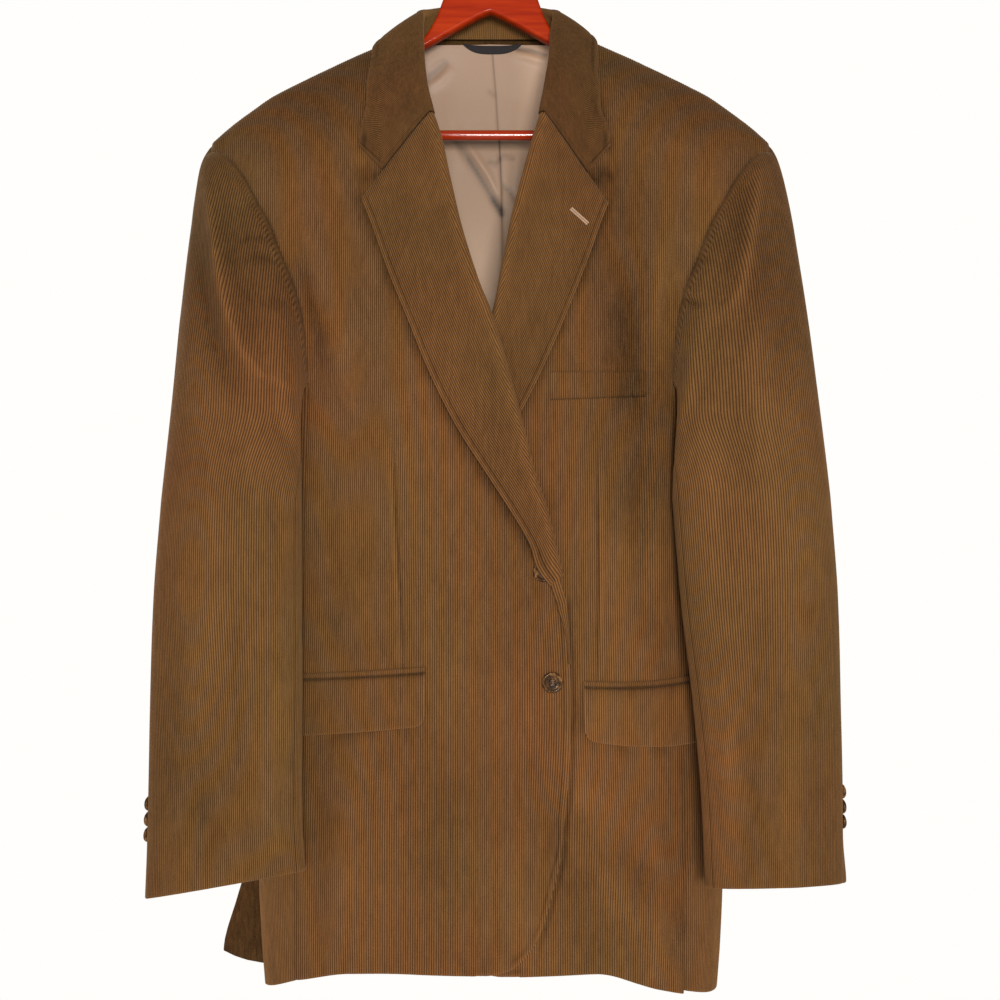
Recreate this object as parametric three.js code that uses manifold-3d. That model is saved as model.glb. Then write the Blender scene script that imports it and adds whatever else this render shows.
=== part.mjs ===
// A corduroy jacket, unbuttoned, hanging on a wooden hanger.
// Millimetres, +Z up. The front faces -Y and +X is the wearer's left.
// The origin is the inside top of the hanger's hook, where a rod carries it.
// Inside the group, heights are measured from the seam at the back of the neck.
import * as THREE from 'three';
import { mergeVertices } from 'three/addons/utils/BufferGeometryUtils.js';
import Module from 'manifold-3d';

// Driving dimensions
const NECK_DROP = 135;        // hook's inside top down to the back neck seam
const CLOTH_FORWARD = 4;      // the cloth hangs a little forward of the hanger's middle
const CLOTH = 2;              // corduroy with its interfacing
const LINING = 1;             // satin lining
const SEAM = 0.2;             // each piece stops this far short of its seam
const SEAM_TURN = 0.5;        // the same at the back side seam, in degrees round the body
const LAY = 0.4;              // free space under a piece that lies on another
const FRONT_POWER = 2;        // roundness of the front half of a section
const BACK_POWER = 2.4;       // roundness of the back half
const ROLL_RADIUS = 4;        // outside radius of the lapel and collar roll
const NECK_X = 74;            // where the shoulder seam meets the collar
const FRONT_SEAM_X = 154;     // front side seam at the armhole
const BACK_SEAM_X = 179;      // back side seam at the armhole
const CAP_X = 243;            // end of the shoulder seam
const CAP_Z = -101;           // its height
const NECK_Z = -2.4;          // height of the neck point, where the shoulder seam starts
const SIDES = [-1, 1];        // wearer's right, then wearer's left

const CORDUROY = { color: 0x6b482c, roughness: 0.95, metalness: 0 };
const SATIN = { color: 0xa58a75, roughness: 0.45, metalness: 0 };
const LABEL = { color: 0x1d1a1c, roughness: 0.7, metalness: 0 };
const BUTTON = { color: 0x4a2f20, roughness: 0.3, metalness: 0 };
const LACQUER = { color: 0x8c3016, roughness: 0.25, metalness: 0 };
const STEEL = { color: 0xb9b9b6, roughness: 0.3, metalness: 1 };

// Shoulder line: distance from the centre and height
const RIDGE = [
  { x: 60, z: 5 }, { x: 70, z: 0 }, { x: NECK_X, z: NECK_Z }, { x: 87, z: -10.5 }, { x: 105, z: -19 },
  { x: 122, z: -26.5 }, { x: 139, z: -34.6 }, { x: 157, z: -43.4 }, { x: 174, z: -52 },
  { x: 192, z: -61.6 }, { x: 209, z: -73.5 }, { x: 227, z: -87 }, { x: CAP_X, z: CAP_Z },
];
// Body below the shoulders: half width at each height
const GIRTH = [
  { z: -125, half: 249 }, { z: -160, half: 245 }, { z: -200, half: 237 }, { z: -250, half: 224 },
  { z: -300, half: 208 }, { z: -335, half: 199 }, { z: -412, half: 197 }, { z: -500, half: 196 },
  { z: -600, half: 200 }, { z: -740, half: 206 }, { z: -800, half: 204 }, { z: -845, half: 201 },
];
// Depth of the body: y of its side line, reach forward and reach back from it
const DEPTH = [
  { z: 6, side: 6, front: 16, back: 28 }, { z: -6, side: 5, front: 19, back: 30 },
  { z: -30, side: 5, front: 26, back: 33 }, { z: -62, side: 5, front: 41, back: 36 },
  { z: -92, side: 5, front: 49, back: 38 }, { z: -114, side: 6, front: 55, back: 38 },
  { z: -147, side: 9, front: 62, back: 37 }, { z: -190, side: 13, front: 70, back: 35 },
  { z: -250, side: 18, front: 77, back: 31 }, { z: -335, side: 23, front: 81, back: 26 },
  { z: -412, side: 24, front: 80, back: 23 }, { z: -500, side: 24, front: 75, back: 21 },
  { z: -650, side: 24, front: 74, back: 22 }, { z: -845, side: 24, front: 76, back: 24 },
];
// Armhole edge of the front and of the back, from the side seam up to the shoulder
const ARMHOLE_FRONT = [
  { x: 154, z: -312 }, { x: 155.5, z: -290 }, { x: 158, z: -262 }, { x: 166, z: -230 }, { x: 177, z: -203 },
  { x: 186, z: -180 }, { x: 197, z: -160 }, { x: 213, z: -133 }, { x: 230, z: -115 }, { x: 243, z: -109 },
];
const ARMHOLE_BACK = [
  { x: 179, z: -318 }, { x: 188, z: -304 }, { x: 200, z: -282 }, { x: 212, z: -250 }, { x: 219, z: -215 },
  { x: 223, z: -180 }, { x: 228, z: -150 }, { x: 235, z: -126 }, { x: 243, z: -109 },
];
// Side seams: x of the front one, and how far round the back one lies, in degrees
const FRONT_SEAM = [
  { z: -312, x: 154 }, { z: -412, x: 158 }, { z: -500, x: 160 }, { z: -600, x: 163 }, { z: -700, x: 165 },
  { z: -840, x: 166 },
];
const BACK_SEAM = [
  { z: -318, turn: 118 }, { z: -412, turn: 111 }, { z: -500, turn: 108.4 }, { z: -600, turn: 106 },
  { z: -700, turn: 104 }, { z: -840, turn: 100 },
];
// Upper edge (roll line, then neck seam) and lower edge of each front
const FRONTS = {
  '-1': {
    name: 'right',
    bulge: 5,
    top: [
      { x: -62, z: -497 }, { x: -54, z: -471 }, { x: -48, z: -446 }, { x: -42, z: -421 }, { x: -33.5, z: -395 },
      { x: -21, z: -346 }, { x: 3, z: -260 }, { x: 13, z: -235 }, { x: 27, z: -190 }, { x: 37, z: -147 },
      { x: 44, z: -114 }, { x: 51, z: -92 }, { x: 57, z: -78 }, { x: 64, z: -59 }, { x: 70, z: -33 },
      { x: 73, z: -12 }, { x: NECK_X, z: NECK_Z },
    ],
    bottom: [
      { x: -62, z: -676 }, { x: -59, z: -710 }, { x: -52, z: -738 }, { x: -46.5, z: -758 }, { x: -40, z: -776 },
      { x: -26, z: -794 }, { x: -16, z: -802 }, { x: 4, z: -806 }, { x: 60, z: -806 }, { x: 110, z: -810 },
      { x: 154, z: -823 },
    ],
    columns: [-62, -55, -46, -36, -24, -10, 4, 18, 32, 43, 51, 58, 67, 74],
  },
  1: {
    name: 'left',
    bulge: 4,
    top: [
      { x: -50, z: -490 }, { x: -37, z: -440 }, { x: -16, z: -345 }, { x: 8, z: -252 }, { x: 13, z: -226 },
      { x: 23, z: -176 }, { x: 32, z: -141 }, { x: 39, z: -115 }, { x: 46, z: -92 }, { x: 54, z: -75 },
      { x: 62, z: -54 }, { x: 69, z: -31 }, { x: 73, z: -12 }, { x: NECK_X, z: NECK_Z },
    ],
    bottom: [
      { x: -50, z: -690 }, { x: -44, z: -730 }, { x: -36, z: -765 }, { x: -22, z: -793 }, { x: -8, z: -804 },
      { x: 10, z: -808 }, { x: 83, z: -808 }, { x: 116, z: -815 }, { x: 135, z: -822 }, { x: 154, z: -832 },
    ],
    columns: [-50, -42, -32, -20, -6, 8, 20, 32, 39, 46, 55, 65, 74],
  },
};
const SHOULDER_COLUMNS = [90, 108, 126, 142, 154];
const WING_COLUMNS = [154, 166, 179, 195, 211, 228, 243];
const BACK_COLUMNS = [0, 24, 46, 62, 74, 90, 108, 126, 142, 154, 166, 179];
const BACK_WING = [179, 195, 211, 228, 243];
const LOW_ROWS = 10;          // rows from the hem to the armhole
const HIGH_ROWS = 7;          // rows from the armhole to the shoulder
const BACK_HEM = [
  { x: 0, z: -837 }, { x: 120, z: -837 }, { x: 150, z: -835 }, { x: 166, z: -830 }, { x: 179, z: -820 },
];
// Open side vent: how far the back's edge stands away from the side
const VENT = [{ z: -600, out: 0 }, { z: -700, out: 8 }, { z: -770, out: 25 }, { z: -815, out: 37 }, { z: -845, out: 40 }];
const VENT_SHARE = { '-1': 1, 1: 0.15 };
const VENT_START = 100;       // cloth moves only outside this column
const VENT_RISE = 4;          // its first movement is straight off the side panel
const VENT_BACK = 0.2;        // share of its movement that is backward after that
const TUCK = [{ z: -640, out: 0 }, { z: -760, out: 2 }, { z: -840, out: 10 }];

// The wearer's right front lies on the left one and on its lapel
const LIFT = [
  { z: -90, out: 0 }, { z: -170, out: 2.6 }, { z: -232, out: 9 }, { z: -440, out: 9 }, { z: -520, out: 5 },
  { z: -620, out: 3.2 },
];
const LIFT_FULL_X = 58;
const LIFT_END_X = 140;

// Largest soft folds across both fronts: from one place to another, with width and height
const FRONT_FOLDS = [
  { x0: 108, z0: -205, x1: 112, z1: -300, width: 17, height: -4 },
  { x0: 140, z0: -240, x1: 143, z1: -560, width: 12, height: 3 },
  { x0: 70, z0: -640, x1: 150, z1: -800, width: 20, height: 4 },
  { x0: 120, z0: -610, x1: 160, z1: -720, width: 16, height: -4 },
  { x0: -110, z0: -230, x1: -122, z1: -420, width: 20, height: -3 },
  { x0: -90, z0: -640, x1: -130, z1: -810, width: 26, height: 3 },
];

const lerp = (a, b, t) => a + (b - a) * t;
const clamp = (t) => Math.min(1, Math.max(0, t));
const ease = (a, b, q) => { const t = clamp((q - a) / (b - a)); return t * t * (3 - 2 * t); };
const deg = (a) => a * Math.PI / 180;
const add = (a, b, k = 1) => [a[0] + b[0] * k, a[1] + b[1] * k, a[2] + b[2] * k];
const sub = (a, b) => add(a, b, -1);
const mix = (a, b, t) => add(a, sub(b, a), t);
const dot = (a, b) => a[0] * b[0] + a[1] * b[1] + a[2] * b[2];
const cross = (a, b) => [a[1] * b[2] - a[2] * b[1], a[2] * b[0] - a[0] * b[2], a[0] * b[1] - a[1] * b[0]];
const unit = (a) => { const l = Math.hypot(...a); return [a[0] / l, a[1] / l, a[2] / l]; };

// Monotone cubic through two columns of a table
function smooth(rows, key, value) {
  const p = rows.map((row) => [row[key], row[value]]).sort((a, b) => a[0] - b[0]);
  const rise = p.slice(1).map((q, i) => (q[1] - p[i][1]) / (q[0] - p[i][0]));
  const slope = p.map((q, i) => {
    if (i === 0) return rise[0];
    if (i === p.length - 1) return rise[i - 1];
    const product = rise[i - 1] * rise[i];
    return product <= 0 ? 0 : (2 * product) / (rise[i - 1] + rise[i]);
  });
  return (at) => {
    const q = Math.min(p[p.length - 1][0], Math.max(p[0][0], at));
    let i = 0;
    while (i < p.length - 2 && q > p[i + 1][0]) i += 1;
    const h = p[i + 1][0] - p[i][0];
    const t = (q - p[i][0]) / h;
    const a = (1 + 2 * t) * (1 - t) ** 2 * p[i][1] + t * (1 - t) ** 2 * h * slope[i];
    const b = t * t * (3 - 2 * t) * p[i + 1][1] + t * t * (t - 1) * h * slope[i + 1];
    return a + b;
  };
}

const ridgeZ = smooth(RIDGE, 'x', 'z');
const ridgeX = smooth(RIDGE, 'z', 'x');
const lowHalf = smooth([{ z: CAP_Z, half: CAP_X }, ...GIRTH], 'z', 'half');
const halfWidth = (z) => (z > CAP_Z ? ridgeX(z) : lowHalf(z));
const sideY = smooth(DEPTH, 'z', 'side');
const reachFront = smooth(DEPTH, 'z', 'front');
const reachBack = smooth(DEPTH, 'z', 'back');
const armFront = smooth(ARMHOLE_FRONT, 'x', 'z');
const armBack = smooth(ARMHOLE_BACK, 'x', 'z');
const seamX = smooth(FRONT_SEAM, 'z', 'x');
const seamTurn = smooth(BACK_SEAM, 'z', 'turn');
const ventOut = smooth(VENT, 'z', 'out');
const tuckOut = smooth(TUCK, 'z', 'out');
const liftOut = smooth(LIFT, 'z', 'out');

// The body's plain surface: turn is 0 at the centre front, 90 at the side, 180 at the centre back
function bodyPoint(side, turn, z) {
  const across = Math.sin(deg(turn));
  const front = turn < 90;
  const power = front ? FRONT_POWER : BACK_POWER;
  const reach = (front ? -reachFront(z) : reachBack(z)) * Math.max(0, 1 - Math.abs(across) ** power) ** (1 / power);
  return [side * halfWidth(z) * across, sideY(z) + reach, z];
}

function bodyNormal(side, turn, z) {
  const round = sub(bodyPoint(side, turn + 1, z), bodyPoint(side, turn - 1, z));
  const up = sub(bodyPoint(side, turn, z + 1), bodyPoint(side, turn, z - 1));
  const n = unit(cross(round, up));
  return n.map((v) => v * side);
}

function foldHeight(x, z) {
  let height = 0;
  for (const f of FRONT_FOLDS) {
    const along = [f.x1 - f.x0, f.z1 - f.z0];
    const t = ((x - f.x0) * along[0] + (z - f.z0) * along[1]) / (along[0] ** 2 + along[1] ** 2);
    const away = Math.hypot(x - lerp(f.x0, f.x1, clamp(t)), z - lerp(f.z0, f.z1, clamp(t)));
    height += f.height * Math.exp(-((away / f.width) ** 2)) * Math.sin(Math.PI * clamp((t + 0.15) / 1.3));
  }
  return height;
}

// A place on the worn surface, moved out by a distance, with the direction it was moved in
function skin(side, turn, z, out = 0) {
  const base = bodyPoint(side, turn, z);
  const n = bodyNormal(side, turn, z);
  const x = side * base[0];
  let lift = 0;
  if (turn < 90) {
    lift = foldHeight(base[0], z);
    if (side < 0) lift += liftOut(z) * (1 - ease(LIFT_FULL_X, LIFT_END_X, x));
  }
  return { p: add(base, n, out + lift), n };
}

const turnAt = (x, z) => Math.asin(Math.min(1, Math.max(-1, x / halfWidth(z)))) * 180 / Math.PI;
const frontSkin = (side, x, z, out = 0) => skin(side, turnAt(x, z), z, out);
const backSkin = (side, x, z, out = 0) => skin(side, 180 - turnAt(x, z), z, out);

// A cloth wall: outer points on a grid, the inner ones moved in along the normals
function wall(columns, rows, place, thickness, present = () => true) {
  const used = new Map();
  const points = [];
  const index = (i, j) => {
    const key = i * 1000 + j;
    if (!used.has(key)) {
      const { p, n } = place(i, j);
      used.set(key, points.length / 6);
      points.push(...p, ...add(p, n, -thickness));
    }
    return used.get(key);
  };
  const faces = [];
  const quad = (a, b, c, d) => faces.push([a, b, c], [a, c, d]);
  const has = (i, j) => i >= 0 && j >= 0 && i < columns - 1 && j < rows - 1 && present(i, j);
  for (let i = 0; i < columns - 1; i += 1) {
    for (let j = 0; j < rows - 1; j += 1) {
      if (!has(i, j)) continue;
      const corner = [index(i, j), index(i + 1, j), index(i + 1, j + 1), index(i, j + 1)];
      const [a, b, c, d] = corner.map((k) => 2 * k);
      quad(a, b, c, d);
      quad(d + 1, c + 1, b + 1, a + 1);
      if (!has(i, j - 1)) quad(a + 1, b + 1, b, a);
      if (!has(i + 1, j)) quad(b + 1, c + 1, c, b);
      if (!has(i, j + 1)) quad(c + 1, d + 1, d, c);
      if (!has(i - 1, j)) quad(d + 1, a + 1, a, d);
    }
  }
  const at = (k) => points.slice(3 * k, 3 * k + 3);
  const volume = faces.reduce((sum, [a, b, c]) => sum + dot(at(a), cross(at(b), at(c))), 0);
  if (volume < 0) faces.forEach((face) => face.reverse());
  const geometry = new THREE.BufferGeometry();
  geometry.setAttribute('position', new THREE.Float32BufferAttribute(points, 3));
  geometry.setIndex(faces.flat());
  return geometry;
}

// Normals of a surface given by a function of two numbers, by differences of the function
function withNormal(surface, u, v, step, flip = 1) {
  const p = surface(u, v);
  const du = sub(surface(u + step[0], v), surface(u - step[0], v));
  const dv = sub(surface(u, v + step[1]), surface(u, v - step[1]));
  return { p, n: unit(cross(du, dv)).map((k) => k * flip) };
}

const jacket = new THREE.Group();
const cloth = new THREE.Group();
const hanger = new THREE.Group();
cloth.position.set(0, -CLOTH_FORWARD, -NECK_DROP);
hanger.position.set(0, 0, -NECK_DROP);
jacket.add(cloth, hanger);

function piece(name, geometry, finish, group = cloth) {
  const mesh = new THREE.Mesh(geometry, new THREE.MeshStandardMaterial({ ...finish, side: THREE.FrontSide }));
  mesh.name = name;
  group.add(mesh);
  return mesh;
}

// Rows: even up to the armhole, closer together towards the shoulder
const ROWS = LOW_ROWS + HIGH_ROWS + 1;
const ROW_CROWDING = 1.7;
function rowHeight(j, low, arm, top) {
  if (j <= LOW_ROWS) return lerp(low, arm, j / LOW_ROWS);
  return lerp(arm, top, 1 - (1 - (j - LOW_ROWS) / HIGH_ROWS) ** ROW_CROWDING);
}

// Share of a column's height that lies under the armhole's level
const FRONT_ARM_SHARE = 0.652;
const BACK_ARM_SHARE = 0.665;
// A front is let out towards its side seam from this column on, and its edge bows over this width
const STRETCH_X = 20;
const BULGE_WIDTH = 40;

function frontPanel(side) {
  const cut = FRONTS[side];
  const top = smooth(cut.top, 'x', 'z');
  const bottom = smooth(cut.bottom, 'x', 'z');
  const first = cut.columns[0];
  const body = [...cut.columns, ...SHOULDER_COLUMNS];
  const grain = [...body, ...WING_COLUMNS.slice(1)];
  const seamColumn = body.length - 1;
  const place = (i, j) => {
    const c = grain[i];
    const high = c > NECK_X ? ridgeZ(c) : top(c);
    let z;
    if (i <= seamColumn) {
      const low = bottom(c);
      const share = c === FRONT_SEAM_X ? (armFront(c) - low) / (high - low) : FRONT_ARM_SHARE;
      z = rowHeight(j, low, lerp(low, high, share), high);
    } else {
      z = rowHeight(j, 0, armFront(c), high);
    }
    let x = c + (seamX(z) - FRONT_SEAM_X) * clamp((c - STRETCH_X) / (FRONT_SEAM_X - STRETCH_X))
      * (c <= FRONT_SEAM_X ? 1 : 0);
    const edge = clamp((z - bottom(first)) / (top(first) - bottom(first)));
    x -= cut.bulge * Math.sin(Math.PI * edge) * (1 - clamp((c - first) / BULGE_WIDTH));
    if (i === seamColumn && j < LOW_ROWS) x -= SEAM;
    const atRidge = j === ROWS - 1 && c >= NECK_X;
    const { p, n } = skin(side, atRidge ? 90 : turnAt(x, z), z);
    if (atRidge) p[1] -= SEAM;
    return { p, n };
  };
  const present = (i, j) => i < seamColumn || j >= LOW_ROWS;
  piece(`front_${cut.name}`, wall(grain.length, ROWS, place, CLOTH, present), CORDUROY);
}

const backHem = smooth(BACK_HEM, 'x', 'z');
const SIDE_STEPS = 6;
const SIDE_HEM_Z = -836;      // the side panel's low corner at the vent
const HEM_DIP = 8;            // its hem hangs in a shallow curve
const ARM_DIP = 23;           // and so does its edge under the arm
function sidePanel(side) {
  const frontLow = smooth(FRONTS[side].bottom, 'x', 'z')(FRONT_SEAM_X);
  const place = (i, j) => {
    const u = i / SIDE_STEPS;
    const v = j / LOW_ROWS;
    const zFront = lerp(frontLow, ARMHOLE_FRONT[0].z, v);
    const zBack = j === 0 ? SIDE_HEM_Z : lerp(backHem(BACK_SEAM_X), ARMHOLE_BACK[0].z, v);
    const z = lerp(zFront, zBack, u) - lerp(HEM_DIP, ARM_DIP, v) * Math.sin(Math.PI * u);
    const start = turnAt(seamX(zFront) + SEAM, zFront);
    const end = seamTurn(zBack) - SEAM_TURN;
    const { p, n } = skin(side, lerp(start, end, u), z);
    const tuck = tuckOut(z) * ease(0.5, 1, u) * VENT_SHARE[side];
    return { p: add(p, [-side, 0, 0], tuck), n };
  };
  piece(`side_${FRONTS[side].name}`, wall(SIDE_STEPS + 1, LOW_ROWS + 1, place, CLOTH), CORDUROY);
}

function backPanel(side) {
  const grain = [...BACK_COLUMNS, ...BACK_WING.slice(1)];
  const seamColumn = BACK_COLUMNS.length - 1;
  const place = (i, j) => {
    const c = grain[i];
    const high = c > NECK_X ? ridgeZ(c) : NECK_Z * (c / NECK_X) ** 2;
    let z;
    if (i <= seamColumn) {
      const low = backHem(c);
      const share = c === BACK_SEAM_X ? (armBack(c) - low) / (high - low) : BACK_ARM_SHARE;
      z = rowHeight(j, low, lerp(low, high, share), high);
    } else {
      z = rowHeight(j, 0, armBack(c), high);
    }
    const seam = halfWidth(z) * Math.sin(deg(seamTurn(z) + (j < LOW_ROWS ? SEAM_TURN : 0)));
    const stretch = z < ARMHOLE_BACK[0].z + 1 ? (seam - BACK_SEAM_X) * clamp(c / BACK_SEAM_X) ** 2 : 0;
    const x = Math.max(SEAM, i <= seamColumn ? c + stretch : c);
    const atRidge = j === ROWS - 1 && c >= NECK_X;
    const { p, n } = skin(side, atRidge ? 90.01 : 180 - turnAt(x, z), z);
    if (atRidge) p[1] += SEAM;
    const vent = ventOut(z) * ease(VENT_START, BACK_SEAM_X, c) * VENT_SHARE[side];
    const rise = VENT_BACK * vent + (1 - VENT_BACK) * Math.min(vent, VENT_RISE);
    return { p: c <= BACK_SEAM_X ? add(p, [side * vent, rise, 0]) : p, n };
  };
  const present = (i, j) => i < seamColumn || j >= LOW_ROWS;
  piece(`back_${FRONTS[side].name}`, wall(grain.length, ROWS, place, CLOTH, present), CORDUROY);
}

for (const side of SIDES) {
  frontPanel(side);
  sidePanel(side);
  backPanel(side);
}

// Armhole loop on the body, from the shoulder's end down the front, under the arm and up the back
function armholeLoop() {
  const loop = [{ turn: 90, z: ridgeZ(CAP_X) }];
  const step = 4;
  const underSteps = 12;
  for (let x = CAP_X; x >= FRONT_SEAM_X; x -= step) loop.push({ turn: turnAt(x, armFront(x)), z: armFront(x) });
  const start = turnAt(FRONT_SEAM_X, ARMHOLE_FRONT[0].z);
  const end = BACK_SEAM[0].turn;
  for (let k = 0; k <= underSteps; k += 1) {
    const u = k / underSteps;
    const z = lerp(ARMHOLE_FRONT[0].z, ARMHOLE_BACK[0].z, u) - ARM_DIP * Math.sin(Math.PI * u);
    loop.push({ turn: lerp(start, end, u), z });
  }
  for (let x = BACK_SEAM_X + step; x <= CAP_X; x += step) {
    loop.push({ turn: 180 - turnAt(x, armBack(x)), z: armBack(x) });
  }
  loop.push({ turn: 90, z: ridgeZ(CAP_X) });
  let length = 0;
  loop.forEach((row, k) => {
    if (k > 0) length += Math.hypot(...sub(bodyPoint(1, row.turn, row.z), bodyPoint(1, loop[k - 1].turn, loop[k - 1].z)));
    row.length = length;
  });
  return loop.map((row) => ({ ...row, share: row.length / length }));
}
const loop = armholeLoop();
const loopTurn = smooth(loop, 'share', 'turn');
const loopZ = smooth(loop, 'share', 'z');

// Sleeve lines, numbered by their share of the armhole: the angle each takes round the sleeve at the
// armhole level and at the cuff, and how it leaves the armhole and enters the straight sleeve
const SLEEVE_LINES = [
  { share: 0, upper: 15, cuff: 35, ax: 13, ay: -2, az: -28, bx: -12, by: 14, bz: 150 },
  { share: 0.1, upper: 50, cuff: 65, ax: 22, ay: -14, az: -22, bx: -8, by: 8, bz: 130 },
  { share: 0.2, upper: 85, cuff: 95, ax: 26, ay: -30, az: -18, bx: -3, by: 4, bz: 95 },
  { share: 0.31, upper: 130, cuff: 130, ax: 14, ay: -34, az: -22, bx: 0, by: 0, bz: 70 },
  { share: 0.42, upper: 178, cuff: 172, ax: 4, ay: -22, az: -16, bx: -1, by: 0, bz: 45 },
  { share: 0.5, upper: 212, cuff: 206, ax: 10, ay: -6, az: -22, bx: 6, by: -3, bz: 38 },
  { share: 0.6, upper: 245, cuff: 243, ax: 34, ay: 6, az: -14, bx: 18, by: 10, bz: 45 },
  { share: 0.7, upper: 282, cuff: 296, ax: 26, ay: 14, az: -22, bx: 10, by: 30, bz: 90 },
  { share: 0.8, upper: 320, cuff: 346, ax: 26, ay: 8, az: -30, bx: 2, by: 34, bz: 130 },
  { share: 0.9, upper: 348, cuff: 372, ax: 18, ay: 4, az: -34, bx: -8, by: 26, bz: 150 },
];
// Straight part of each sleeve: outer and inner edge, and its middle, front and back depth
const SLEEVE_TOP = -412;
const CUFF_LEVEL = -700;
const SLEEVE_TUBE = [
  { z: SLEEVE_TOP, outR: 274, inR: 158, outL: 284, inL: 153, mid: -42, front: 35, back: 31 },
  { z: -495, outR: 279, inR: 157, outL: 288.5, inL: 159, mid: -48, front: 32, back: 30 },
  { z: -579, outR: 281, inR: 156, outL: 290, inL: 168.5, mid: -51, front: 30, back: 28 },
  { z: -662, outR: 282, inR: 156, outL: 291, inL: 175.5, mid: -53, front: 28, back: 27 },
  { z: -745, outR: 284, inR: 151, outL: 291, inL: 179, mid: -54, front: 27, back: 27 },
];
// Height of the cuff's edge at the outer, front, inner and back line
const CUFF = { '-1': { out: -740, front: -722, inner: -717, back: -744 }, 1: { out: -731, front: -719, inner: -735, back: -742 } };
const SLEEVE_SEAMS = { front: 0.385, back: 0.8 };
const SLEEVE_HALF_GAP = 0.0008;
const CAP_SHARE = 0.46;       // share of the rows that belongs to the cap
const SLEEVE_ROWS = 18;
const SLEEVE_OFF = CLOTH + 2 * LAY;
// Largest soft folds of the sleeves, by share of the armhole and row share
const SLEEVE_FOLDS = [
  { side: -1, u0: 0.03, v0: 0.05, u1: 0.2, v1: 0.3, width: 0.035, height: 3 },
  { side: -1, u0: 0.2, v0: 0.3, u1: 0.37, v1: 0.42, width: 0.04, height: 4 },
  { side: -1, u0: 0.25, v0: 0.16, u1: 0.36, v1: 0.34, width: 0.03, height: -3 },
  { side: 1, u0: 0.08, v0: 0.05, u1: 0.26, v1: 0.36, width: 0.035, height: 4 },
  { side: 1, u0: 0.22, v0: 0.1, u1: 0.36, v1: 0.3, width: 0.03, height: -3 },
  { side: 1, u0: 0.3, v0: 0.6, u1: 0.12, v1: 0.92, width: 0.05, height: 3 },
  { side: -1, u0: 0.33, v0: 0.55, u1: 0.2, v1: 0.85, width: 0.05, height: 2.5 },
];

const lineTable = (key, wrap = 0) => smooth([
  ...SLEEVE_LINES.slice(-2).map((row) => ({ share: row.share - 1, value: row[key] - wrap })),
  ...SLEEVE_LINES.map((row) => ({ share: row.share, value: row[key] })),
  ...SLEEVE_LINES.slice(0, 3).map((row) => ({ share: row.share + 1, value: row[key] + wrap })),
], 'share', 'value');
const line = Object.fromEntries(['ax', 'ay', 'az', 'bx', 'by', 'bz'].map((key) => [key, lineTable(key)]));
const lineUpper = lineTable('upper', 360);
const lineCuff = lineTable('cuff', 360);
const tube = Object.fromEntries(['outR', 'inR', 'outL', 'inL', 'mid', 'front', 'back']
  .map((key) => [key, smooth(SLEEVE_TUBE, 'z', key)]));

function tubePoint(side, share, z) {
  const angle = deg(lerp(lineUpper(share), lineCuff(share), ease(SLEEVE_TOP, CUFF_LEVEL, z)));
  const out = side < 0 ? tube.outR(z) : tube.outL(z);
  const inner = side < 0 ? tube.inR(z) : tube.inL(z);
  const depth = Math.sin(angle) > 0 ? tube.front(z) : tube.back(z);
  const x = (out + inner) / 2 + (out - inner) / 2 * Math.cos(angle);
  return [side * x, tube.mid(z) - depth * Math.sin(angle), z];
}

function sleevePlain(side, share, v) {
  const top = tubePoint(side, share, SLEEVE_TOP);
  if (v >= CAP_SHARE) {
    const angle = deg(lineCuff(share));
    const cuff = CUFF[side];
    const level = (cuff.out + cuff.inner + cuff.front + cuff.back) / 4;
    const end = level + (cuff.out - cuff.inner) / 2 * Math.cos(angle) + (cuff.front - cuff.back) / 2 * Math.sin(angle);
    return tubePoint(side, share, lerp(SLEEVE_TOP, end, (v - CAP_SHARE) / (1 - CAP_SHARE)));
  }
  const around = ((share % 1) + 1) % 1;
  const start = skin(side, loopTurn(around), loopZ(around), SLEEVE_OFF).p;
  const a = add(start, [side * line.ax(share), line.ay(share), line.az(share)]);
  const b = add(top, [side * line.bx(share), line.by(share), line.bz(share)]);
  const t = Math.max(0, v) / CAP_SHARE;
  const ab = mix(start, a, t);
  const bc = mix(a, b, t);
  const cd = mix(b, top, t);
  return mix(mix(ab, bc, t), mix(bc, cd, t), t);
}

function sleevePoint(side, share, v) {
  const { p, n } = withNormal((s, t) => sleevePlain(side, s, t), share, v, [0.004, 0.004], side);
  let height = 0;
  for (const f of SLEEVE_FOLDS) {
    if (f.side !== side) continue;
    const along = [f.u1 - f.u0, f.v1 - f.v0];
    const t = ((share - f.u0) * along[0] + (v - f.v0) * along[1]) / (along[0] ** 2 + along[1] ** 2);
    const away = Math.hypot(share - lerp(f.u0, f.u1, clamp(t)), v - lerp(f.v0, f.v1, clamp(t)));
    height += f.height * Math.exp(-((away / f.width) ** 2)) * Math.sin(Math.PI * clamp((t + 0.2) / 1.4));
  }
  return { p: add(p, n, height), n };
}

function sleevePiece(name, side, from, to, steps) {
  const place = (i, j) => {
    const share = lerp(from + SLEEVE_HALF_GAP, to - SLEEVE_HALF_GAP, i / steps);
    return sleevePoint(side, share, j / SLEEVE_ROWS);
  };
  piece(name, wall(steps + 1, SLEEVE_ROWS + 1, place, CLOTH), CORDUROY);
}
for (const side of SIDES) {
  const { name } = FRONTS[side];
  sleevePiece(`sleeve_upper_${name}`, side, SLEEVE_SEAMS.back - 1, SLEEVE_SEAMS.front, 16);
  sleevePiece(`sleeve_under_${name}`, side, SLEEVE_SEAMS.front, SLEEVE_SEAMS.back, 12);
}

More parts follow.
